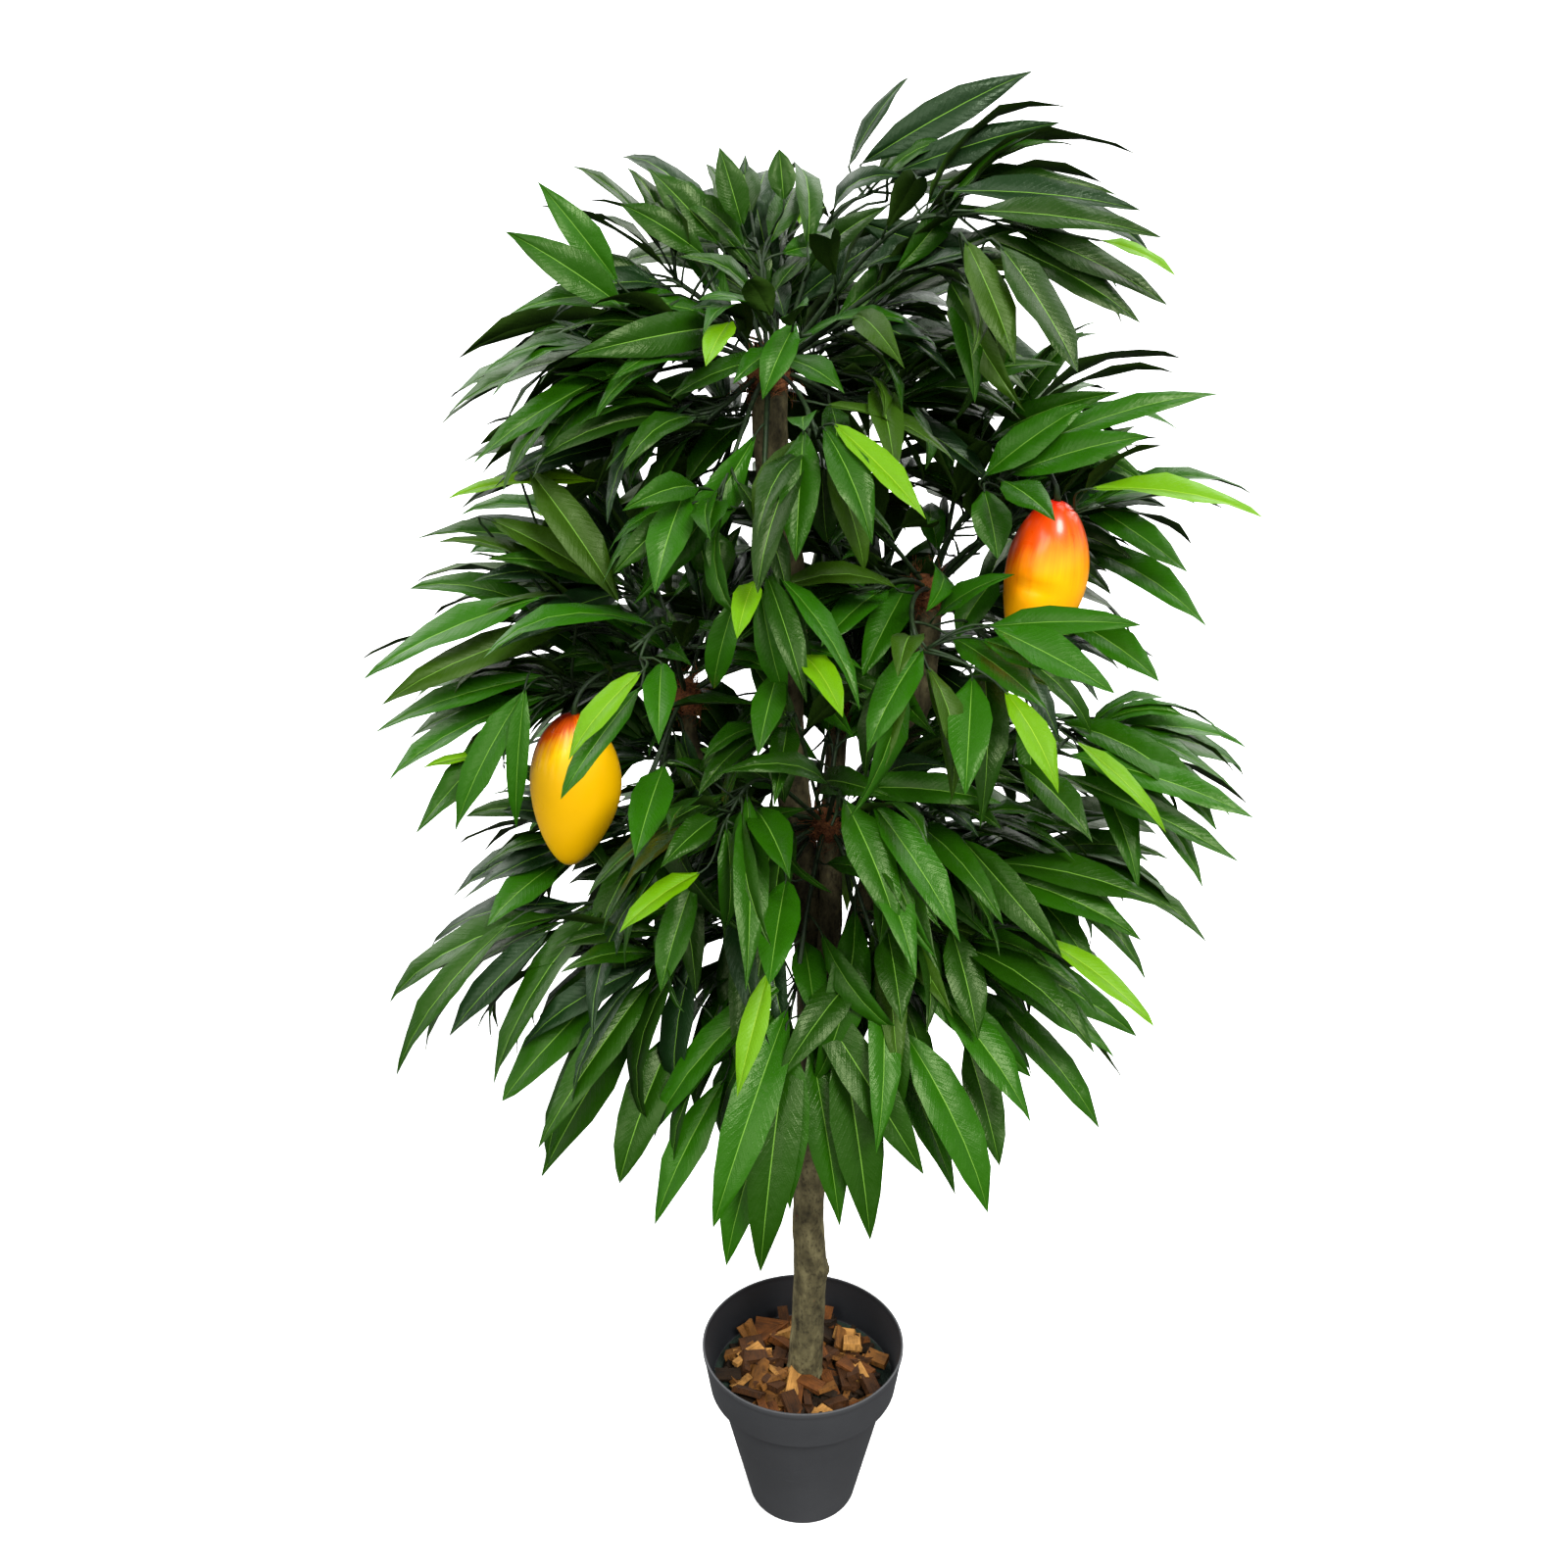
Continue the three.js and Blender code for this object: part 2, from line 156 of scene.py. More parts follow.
def make_piece(name: str, bm: BMesh, skins: Sequence[Material]) -> bpy.types.Object:
    """Turns a bmesh into a smooth-shaded object at the origin and frees the bmesh.

    Args:
        name: The piece's name.
        bm: The shape, in the part's own frame.
        skins: Its materials, in the order of its faces' material numbers.

    Returns:
        The new object.
    """
    mesh = bpy.data.meshes.new(name)
    for face in bm.faces:
        face.smooth = True
    bm.to_mesh(mesh)
    bm.free()
    for skin in skins:
        mesh.materials.append(skin)
    piece = bpy.data.objects.new(name, mesh)
    show(piece)
    return piece


def install(piece: bpy.types.Object, nodes: Sequence[str] = ()) -> None:
    """Makes a piece ride on the tree and stand for its nodes, and reports it.

    Args:
        piece: The finished object.
        nodes: The nodes that it stands for.
    """
    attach(piece, BODY)
    if nodes:
        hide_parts(*nodes)
    triangles = sum(len(face.vertices) - 2 for face in piece.data.polygons)
    LOG.info("%s: %d triangles, stands for %d nodes", piece.name, triangles, len(nodes))


@dataclass
class Run:
    """A round strand: its centre line and the radius at each point."""

    points: list[Vector]
    radii: list[float]


def make_strands(name: str, runs: Sequence[Run], skin: Material, fineness: int) -> bpy.types.Object:
    """Makes one mesh of many round strands from a bevelled curve.

    Args:
        name: The piece's name.
        runs: The strands.
        skin: Their material.
        fineness: The bevel's resolution: 0 gives four sides, 1 gives six.

    Returns:
        The new object.
    """
    curve = bpy.data.curves.new(name, "CURVE")
    curve.dimensions = "3D"
    curve.bevel_depth = 1.0
    curve.bevel_resolution = fineness
    curve.use_fill_caps = True
    for run in runs:
        spline = curve.splines.new("POLY")
        spline.points.add(len(run.points) - 1)
        for point, place, radius in zip(spline.points, run.points, run.radii):
            point.co = (*place, 1.0)
            point.radius = radius
    shape = bpy.data.objects.new(name, curve)
    show(shape)
    mesh = bpy.data.meshes.new_from_object(shape.evaluated_get(bpy.context.evaluated_depsgraph_get()))
    bpy.data.objects.remove(shape)
    bm = bmesh.new()
    bm.from_mesh(mesh)
    bmesh.ops.remove_doubles(bm, verts=bm.verts, dist=MERGE_STRANDS)
    bmesh.ops.recalc_face_normals(bm, faces=bm.faces)
    return make_piece(name, bm, [skin])


def rounded_outline(corners: Sequence[tuple[float, float, float]], steps: int) -> list[Vector]:
    """An outline in the XZ plane with its corners turned into arcs.

    Args:
        corners: Radius from the axis, height and rounding of each corner.
        steps: Straight stretches in each arc.

    Returns:
        The outline's points, with sharp corners kept where the rounding is 0.
    """
    flat = [Vector((r, 0.0, z)) for r, z, _ in corners]
    points: list[Vector] = []
    for i, (corner, (_, _, rounding)) in enumerate(zip(flat, corners)):
        if rounding == 0 or i in (0, len(flat) - 1):
            points.append(corner)
            continue
        before, after = flat[i - 1] - corner, flat[i + 1] - corner
        reach = min(rounding, ARC_LIMIT * before.length, ARC_LIMIT * after.length)
        start, end = corner + before.normalized() * reach, corner + after.normalized() * reach
        for k in range(steps + 1):
            t = k / steps
            points.append(start * (1 - t) ** 2 + corner * (2 * t * (1 - t)) + end * t * t)
    return points


def lathe(outline: Sequence[Vector], steps: int) -> BMesh:
    """Spins an outline a full turn about Z into a closed shape.

    Args:
        outline: Points from the axis back to the axis.
        steps: Slices in the turn.

    Returns:
        A new bmesh with its faces pointing out.
    """
    bm = bmesh.new()
    verts = [bm.verts.new(point) for point in outline]
    edges = [bm.edges.new(pair) for pair in zip(verts, verts[1:])]
    bmesh.ops.spin(bm, geom=verts + edges, cent=(0, 0, 0), axis=(0, 0, 1), dvec=(0, 0, 0),
                   angle=2 * math.pi, steps=steps, use_merge=True, use_duplicate=False)
    bmesh.ops.remove_doubles(bm, verts=bm.verts, dist=MERGE_LATHE)
    bmesh.ops.recalc_face_normals(bm, faces=bm.faces)
    return bm


# ---------- finishes ----------


class Nodes:
    """A tree of nodes, for a material or for the sky."""

    def __init__(self, tree: bpy.types.NodeTree) -> None:
        """Starts with the tree's coordinates."""
        self.tree = tree
        self.coordinates = self.tree.nodes.new("ShaderNodeTexCoord")

    def feed(self, socket: Socket, value: object) -> None:
        """Links a socket to an output, or sets its value.

        Args:
            socket: The input.
            value: Another node's output, or a plain value.
        """
        if isinstance(value, Socket):
            self.tree.links.new(value, socket)
        else:
            socket.default_value = value

    def node(self, kind: str, inputs: dict[str | int, object], **settings: object) -> bpy.types.Node:
        """Adds a node.

        Args:
            kind: The node's type, without ShaderNode in front.
            inputs: Values or outputs for its sockets, by name or number.
            settings: The node's own options.

        Returns:
            The new node.
        """
        made = self.tree.nodes.new("ShaderNode" + kind)
        for key, value in settings.items():
            setattr(made, key, value)
        for key, value in inputs.items():
            self.feed(made.inputs[key], value)
        return made

    def calc(self, operation: str, first: object, second: object = 0.0) -> Socket:
        """The output of one step of arithmetic."""
        return self.node("Math", {0: first, 1: second}, operation=operation).outputs[0]

    def times(self, value: object, factor: float) -> Socket:
        """A value times a factor."""
        return self.calc("MULTIPLY", value, factor)

    def blend(self, first: object, weight: float, second: object, other: float) -> Socket:
        """Two values added up, the first times its weight and the second times the other one."""
        return self.calc("ADD", self.times(first, weight), self.times(second, other))

    def swayed(self, value: object, clouds: Socket, by: float) -> Socket:
        """A value moved up and down by soft random values, which lie round 0.5."""
        return self.calc("ADD", value, self.times(self.calc("SUBTRACT", clouds, 0.5), by))

    def stretched(self, scale: Place = (1.0, 1.0, 1.0), source: str = "Object") -> Socket:
        """The piece's own coordinates, scaled along each axis."""
        return self.node("Mapping", {"Vector": self.coordinates.outputs[source], "Scale": scale}).outputs[0]

    def clouds(self, where: Socket, scale: float, detail: float) -> Socket:
        """Soft random values of that scale."""
        inputs = {"Vector": where, "Scale": scale, "Detail": detail, "Roughness": 0.6}
        return self.node("TexNoise", inputs).outputs["Fac"]

    def spread(self, value: Socket, low: float, high: float,
               start: float = 0.3, end: float = 0.7) -> Socket:
        """Values from the start to the end, brought to the range from low to high."""
        inputs = {"Value": value, "From Min": start, "From Max": end, "To Min": low, "To Max": high}
        return self.node("MapRange", inputs).outputs[0]

    def ramp(self, value: Socket, *stops: tuple[float, Colour]) -> Socket:
        """Reads a colour off a run of stops.

        Args:
            value: Where to read it, from 0 to 1.
            stops: The position and the colour of each stop.

        Returns:
            The colour.
        """
        made = self.node("ValToRGB", {"Fac": value})
        bar = made.color_ramp
        while len(bar.elements) < len(stops):
            bar.elements.new(0.5)
        for element, (position, colour) in zip(bar.elements, stops):
            element.position = position
            element.color = colour
        return made.outputs["Color"]

    def mix(self, share: object, first: object, second: object) -> Socket:
        """Two colours mixed by a share."""
        return self.node("Mix", {0: share, 6: first, 7: second}, data_type="RGBA").outputs[2]

    def shaded(self, colour: object, value: Socket) -> Socket:
        """A colour made lighter or darker by a value round 1."""
        return self.node("HueSaturation", {"Color": colour, "Value": value}).outputs[0]


class Shader(Nodes):
    """A material that is built round one Principled shader."""

    def __init__(self, name: str) -> None:
        """Starts a material.

        Args:
            name: The material's name.
        """
        self.material = bpy.data.materials.new(name)
        self.material.use_nodes = True
        super().__init__(self.material.node_tree)
        self.surface = self.tree.nodes["Principled BSDF"]

    def relief(self, height: Socket, depth: float, strength: float) -> None:
        """Gives the surface a bump of that depth in metres."""
        made = self.node("Bump", {"Height": height, "Distance": depth, "Strength": strength})
        self.feed(self.surface.inputs["Normal"], made.outputs[0])

    def set(self, **values: object) -> None:
        """Sets or links sockets of the shader, by their names with _ for a space."""
        for key, value in values.items():
            self.feed(self.surface.inputs[key.replace("_", " ")], value)


@dataclass(frozen=True)
class LeafFinish:
    """Waxed leaf fabric in one plain colour, whose relief has side veins, weave, creases and a pillow.

    The pillow is the rise of each half of the leaf between its rib and its edge.
    """

    name: str
    colour: Colour
    roughness: float = 0.33
    shine: float = 0.2
    sheen: Colour = (0.84, 1.0, 0.55, 1.0)
    veins: float = 24.0
    lean: float = 0.3
    vein_relief: float = 0.12
    weave_relief: float = 0.35
    crease_relief: float = 2.0
    pillow_relief: float = 2.0

    def material(self) -> Material:
        """Builds the material. The leaf's own UV map runs across it and along it.

        Returns:
            The material.
        """
        s = Shader(self.name)
        split = s.node("SeparateXYZ", {0: s.coordinates.outputs["UV"]})
        across = s.calc("ABSOLUTE", s.calc("SUBTRACT", split.outputs[0], 0.5))
        along = s.calc("SUBTRACT", split.outputs[1], s.times(across, self.lean))
        wave = s.calc("SINE", s.times(along, self.veins * 2 * math.pi))
        lines = s.calc("POWER", s.calc("MAXIMUM", wave, 0.0), 3.0)
        where = s.stretched()
        weave = s.clouds(where, scale=900.0, detail=1.0)
        creases = s.clouds(where, scale=60.0, detail=2.0)
        pillow = s.calc("SINE", s.times(across, 2 * math.pi))
        s.set(Base_Color=self.colour, Specular_IOR_Level=self.shine, Specular_Tint=self.sheen,
              Roughness=s.spread(creases, self.roughness - 0.08, self.roughness + 0.1))
        fine = s.blend(lines, self.vein_relief, weave, self.weave_relief)
        broad = s.blend(creases, self.crease_relief, pillow, self.pillow_relief)
        s.relief(s.calc("ADD", fine, broad), depth=0.0012, strength=0.5)
        return s.material


@dataclass(frozen=True)
class BarkFinish:
    """Natural dry bark: streaks up the wood, specks and a few rusty spots."""

    name: str
    dark: Colour
    middle: Colour
    pale: Colour
    rust: Colour
    streak_share: float = 0.28
    rustiness: float = 0.5

    def material(self) -> Material:
        """Builds the material. The streaks run along Z.

        Returns:
            The material.
        """
        s = Shader(self.name)
        streaks = s.clouds(s.stretched((1.0, 1.0, 0.16)), scale=120.0, detail=5.0)
        patches = s.clouds(s.stretched((1.0, 1.0, 0.6)), scale=70.0, detail=5.0)
        specks = s.clouds(s.stretched((1.0, 1.0, 0.7)), scale=300.0, detail=2.0)
        spots = s.clouds(s.stretched((1.0, 1.0, 0.6)), scale=85.0, detail=3.0)
        tone = s.blend(streaks, self.streak_share, patches, 1 - self.streak_share)
        colour = s.ramp(tone, (0.34, self.dark), (0.5, self.middle), (0.66, self.pale))
        colour = s.mix(s.spread(specks, -0.9, 0.7), colour, self.dark)
        rusty = s.spread(spots, 0.0, self.rustiness, start=0.69, end=0.77)
        s.set(Base_Color=s.mix(rusty, colour, self.rust), Roughness=s.spread(streaks, 0.72, 0.9),
              Specular_IOR_Level=0.14)
        s.relief(s.blend(streaks, 0.7, specks, 0.3), depth=0.002, strength=0.7)
        return s.material


@dataclass(frozen=True)
class GrainyFinish:
    """A rough surface with fine patches between two colours: fibre, cement and moulded stems."""

    name: str
    dark: Colour
    pale: Colour
    scale: float
    roughness: float
    depth: float
    coarser: float = 6.0

    def material(self) -> Material:
        """Builds the material.

        Returns:
            The material.
        """
        s = Shader(self.name)
        where = s.stretched()
        fine = s.clouds(where, self.scale, detail=4.0)
        coarse = s.clouds(where, self.scale / self.coarser, detail=2.0)
        tone = s.blend(fine, 0.6, coarse, 0.4)
        s.set(Base_Color=s.ramp(tone, (0.36, self.dark), (0.64, self.pale)), Specular_IOR_Level=0.25,
              Roughness=s.spread(fine, self.roughness - 0.06, self.roughness + 0.06))
        s.relief(fine, self.depth, strength=0.6)
        return s.material


@dataclass(frozen=True)
class ChipFinish:
    """Split wood whose grain runs along the chip."""

    name: str
    dark: Colour
    pale: Colour
    grain: Place = (1.6, 16.0, 1.0)

    def material(self) -> Material:
        """Builds the material. The chip's UV map gives its length and width.

        Returns:
            The material.
        """
        s = Shader(self.name)
        grain = s.clouds(s.stretched(self.grain, "UV"), scale=1.5, detail=4.0)
        patches = s.clouds(s.stretched(), scale=90.0, detail=3.0)
        tone = s.blend(grain, 0.6, patches, 0.4)
        s.set(Base_Color=s.ramp(tone, (0.36, self.dark), (0.62, self.pale)),
              Roughness=s.spread(grain, 0.7, 0.88), Specular_IOR_Level=0.12)
        s.relief(grain, depth=0.0012, strength=0.8)
        return s.material


@dataclass(frozen=True)
class PotFinish:
    """Satin moulded plastic with faint scuffs."""

    name: str
    colour: Colour
    scuff: Colour
    scuffs: float = 0.22
    unevenness: float = 0.12

    def material(self) -> Material:
        """Builds the material.

        Returns:
            The material.
        """
        s = Shader(self.name)
        where = s.stretched()
        haze = s.clouds(where, scale=9.0, detail=4.0)
        scratches = s.clouds(s.stretched((1.0, 1.0, 9.0)), scale=60.0, detail=3.0)
        pores = s.clouds(where, scale=1500.0, detail=1.0)
        worn = s.spread(scratches, 0.0, self.scuffs, start=0.6, end=0.75)
        colour = s.mix(worn, self.colour, self.scuff)
        tone = s.spread(haze, 1 - self.unevenness, 1 + self.unevenness)
        s.set(Base_Color=s.shaded(colour, tone), Roughness=s.spread(haze, 0.5, 0.62),
              Specular_IOR_Level=0.35)
        s.relief(pores, depth=0.0002, strength=0.35)
        return s.material


@dataclass(frozen=True)
class MangoFinish:
    """Lacquered fruit skin that passes from a streaked blush at the stalk to yellow.

    The blush ends at a share of the way down the fruit, and reaches lowest on one side, which
    is given as a share of a turn.
    """

    name: str
    blush: Colour
    shoulder: Colour
    flesh: Colour
    low: Colour
    blush_end: float
    side: float
    streak_shift: float = 0.2
    side_shift: float = 0.13
    cloud_shift: float = 0.12

    def material(self) -> Material:
        """Builds the material. The fruit's UV map runs round it and down it.

        Returns:
            The material.
        """
        s = Shader(self.name)
        split = s.node("SeparateXYZ", {0: s.coordinates.outputs["UV"]})
        streaks = s.clouds(s.stretched((46.0, 2.6, 1.0), "UV"), scale=1.0, detail=4.0)
        cloud = s.clouds(s.stretched(), scale=34.0, detail=2.0)
        turn = s.calc("SUBTRACT", split.outputs[0], self.side)
        facing = s.calc("COSINE", s.times(turn, 2 * math.pi))
        down = s.swayed(s.calc("SUBTRACT", 1.0, split.outputs[1]), streaks, self.streak_shift)
        down = s.calc("SUBTRACT", down, s.times(facing, self.side_shift))
        down = s.swayed(down, cloud, self.cloud_shift)
        end = self.blush_end
        colour = s.ramp(down, (end * 0.2, self.blush), (end * 0.6, self.shoulder), (end, self.flesh),
                        (0.97, self.low))
        s.set(Base_Color=colour, Roughness=s.spread(cloud, 0.26, 0.34), Specular_IOR_Level=0.3,
              Coat_Weight=0.22, Coat_Roughness=0.16)
        s.relief(cloud, depth=0.0006, strength=0.2)
        return s.material


@dataclass(frozen=True)
class PlainFinish:
    """A matt, nearly even surface that glows a little, for the floor."""

    name: str
    colour: Colour
    glow: float
    unevenness: float = 0.01

    def material(self) -> Material:
        """Builds the material.

        Returns:
            The material.
        """
        s = Shader(self.name)
        patches = s.clouds(s.stretched(), scale=3.0, detail=2.0)
        tone = s.spread(patches, 1 - self.unevenness, 1 + self.unevenness)
        s.set(Base_Color=s.shaded(self.colour, tone), Roughness=0.9,
              Emission_Color=WHITE, Emission_Strength=self.glow)
        return s.material


class Tint(Enum):
    """The plain greens of the leaves' upper faces."""

    BLUISH = 0
    DEEP = 1
    FOREST = 2
    GRASS = 3
    FRESH = 4
    MOSS = 5


class Family(Enum):
    """The greens that one spray draws its leaves from, the commonest first. The leaves' greens vary of
    themselves, but SHADED goes to sprays in less light as painted shade and LIGHT to sprays in more light as
    painted light.
    """

    SHADED = (Tint.BLUISH, Tint.DEEP, Tint.FOREST)
    MIDDLE = (Tint.FOREST, Tint.GRASS, Tint.DEEP)
    LIGHT = (Tint.FRESH, Tint.GRASS, Tint.FOREST)
    OLIVE = (Tint.MOSS, Tint.GRASS, Tint.DEEP)


TINT_WEIGHTS = (5, 3, 2)
RIB = 6
UNDERSIDE = 7
LEAF_FINISHES = (
    LeafFinish("leaf_bluish", srgb(15, 37, 12), 0.34, 0.25, (0.7, 0.9, 0.62, 1.0)),
    LeafFinish("leaf_deep", srgb(19, 46, 4)),
    LeafFinish("leaf_forest", srgb(22, 56, 2)),
    LeafFinish("leaf_grass", srgb(26, 67, 2)),
    LeafFinish("leaf_fresh", srgb(30, 77, 3)),
    LeafFinish("leaf_moss", srgb(36, 63, 4), 0.42),
    LeafFinish("leaf_rib", srgb(92, 134, 44), 0.45),
    LeafFinish("leaf_underside", srgb(36, 60, 12), 0.6, 0.15),
)
YOUNG_LEAF_FINISHES = (
    LeafFinish("young_leaf", srgb(82, 127, 2), 0.42),
    LeafFinish("young_leaf_rib", srgb(124, 158, 34), 0.45),
    LeafFinish("young_leaf_underside", srgb(76, 116, 10), 0.6, 0.2),
)
STEM_FINISH = GrainyFinish("stem_green", srgb(14, 27, 10), srgb(36, 56, 25), 300.0, 0.55, 0.0003)
COIR_FINISH = GrainyFinish("coir_fibre", srgb(66, 34, 18), srgb(146, 92, 52), 500.0, 0.85, 0.0015)
CEMENT_FINISH = GrainyFinish("dark_cement", srgb(14, 24, 18), srgb(30, 46, 36), 160.0, 0.8, 0.0015)
BARK_FINISH = BarkFinish("bark_skin", srgb(34, 31, 21), srgb(78, 72, 49), srgb(112, 105, 74),
                         srgb(108, 54, 30))
POT_FINISH = PotFinish("pot_charcoal", srgb(53, 54, 56), srgb(74, 76, 79))
# A darker copy of the pot's plastic for its inner wall: painted shade inside the pot.
POT_INSIDE_SHADE = PotFinish("pot_inside", srgb(20, 21, 24), srgb(34, 36, 40))
CHIP_FINISHES = (
    ChipFinish("chip_ochre", srgb(56, 34, 12), srgb(110, 71, 28)),
    ChipFinish("chip_orange", srgb(46, 25, 7), srgb(92, 52, 17)),
    ChipFinish("chip_straw", srgb(92, 62, 26), srgb(158, 114, 57)),
    ChipFinish("chip_brown", srgb(15, 10, 5), srgb(38, 26, 14)),
    ChipFinish("chip_russet", srgb(30, 17, 6), srgb(62, 36, 14)),
)


# ---------- pot, filling and wood chips ----------


@dataclass
class Pot:
    """Tapered nursery pot with a deep collar, in moulded plastic.

    The roundings belong to the outline's corners, in their order.
    """

    height: float = 0.17
    rim_radius: float = 0.0875
    collar_height: float = 0.043
    collar_foot_radius: float = 0.0813
    shoulder_radius: float = 0.0737
    step_height: float = 0.0026
    body_foot_radius: float = 0.0472
    foot_radius: float = 0.045
    foot_height: float = 0.0026
    foot_ring: float = 0.006
    recess: float = 0.0016
    wall: float = 0.0021
    floor: float = 0.004
    rim_band: float = 0.007
    band_share: float = 0.55
    inner_band_share: float = 0.6
    roundings: tuple[float, ...] = (
        0.0, 0.0008, 0.0006, 0.0006, 0.0024, 0.0014, 0.0012, 0.004,
        0.002, 0.0009, 0.0009, 0.002, 0.001, 0.001, 0.002, 0.0,
    )
    arc_steps: int = 4
    slices: int = 128

    def step(self) -> float:
        """The height of the collar's lower edge."""
        return self.height - self.collar_height

    def slope(self) -> float:
        """How far the collar widens for each metre that it rises."""
        return (self.rim_radius - self.collar_foot_radius) / self.collar_height

    def inner_radius(self, height: float) -> float:
        """The radius of the collar's inner face at a height."""
        rise = max(0.0, height - (self.step() + self.wall))
        return self.collar_foot_radius - self.wall + self.slope() * rise

    def outline(self) -> list[Vector]:
        """Draws the shell's section.

        Returns:
            Its points, from the middle of the underside round to the middle of the floor.
        """
        step, band, wall = self.step(), self.rim_band, self.wall
        shoulder = step - self.step_height
        ring = self.foot_radius - self.foot_ring
        corners = [
            (0.0, self.recess),
            (ring, self.recess),
            (ring, 0.0),
            (self.foot_radius, 0.0),
            (self.body_foot_radius, self.foot_height),
            (self.shoulder_radius, shoulder),
            (self.collar_foot_radius, step),
            (self.rim_radius - self.slope() * band, self.height - band),
            (self.rim_radius, self.height - self.band_share * band),
            (self.rim_radius, self.height),
            (self.rim_radius - wall, self.height),
            (self.rim_radius - wall, self.height - self.inner_band_share * band),
            (self.collar_foot_radius - wall, step + wall),
            (self.shoulder_radius - wall, shoulder + wall),
            (self.body_foot_radius - wall, self.floor),
            (0.0, self.floor),
        ]
        rounded = [(*corner, rounding) for corner, rounding in zip(corners, self.roundings)]
        return rounded_outline(rounded, self.arc_steps)

    def build(self) -> None:
        """Makes the pot, whose inner wall takes a darker copy of its plastic as painted shade."""
        bm = lathe(self.outline(), self.slices)
        # The inner wall's faces, above the floor, take the darker plastic: painted shade.
        for face in bm.faces:
            middle = face.calc_center_median()
            if middle.z > self.floor and face.normal.dot(Vector((middle.x, middle.y, 0.0))) < 0:
                face.material_index = 1
        piece = make_piece("nursery_pot", bm, [POT_FINISH.material(), POT_INSIDE_SHADE.material()])
        install(piece, ["pot"])


@dataclass
class Filling:
    """Cast cement that holds the trunk, painted dark green, with an uneven top."""

    pot: Pot
    top: float = 0.13
    clearance: float = 0.0006
    rounding: float = 0.001
    edge_drop: float = 0.001
    edge_rounding: float = 0.0004
    ring_shares: tuple[float, ...] = (0.94, 0.8, 0.66, 0.52, 0.38, 0.24)
    unevenness: float = 0.0016
    lump_scale: float = 60.0
    sinking: float = 0.4
    arc_steps: int = 2
    slices: int = 72

    def build(self) -> None:
        """Makes the filling."""
        p = self.pot
        inset = p.wall + self.clearance
        edge = p.inner_radius(self.top) - self.clearance
        corners = [
            (0.0, p.floor, 0.0),
            (p.body_foot_radius - inset, p.floor, self.rounding),
            (p.shoulder_radius - inset, p.step() + p.wall - p.step_height, self.rounding),
            (edge, self.top - self.edge_drop, self.edge_rounding),
            *[(edge * share, self.top, 0.0) for share in self.ring_shares],
            (0.0, self.top, 0.0),
        ]
        bm = lathe(rounded_outline(corners, self.arc_steps), self.slices)
        for vert in bm.verts:
            if vert.co.z > self.top - self.edge_drop / 2:
                vert.co.z += self.unevenness * (noise.noise(vert.co * self.lump_scale) - self.sinking)
        install(make_piece("cast_filling", bm, [CEMENT_FINISH.material()]), ["pot_fill"])


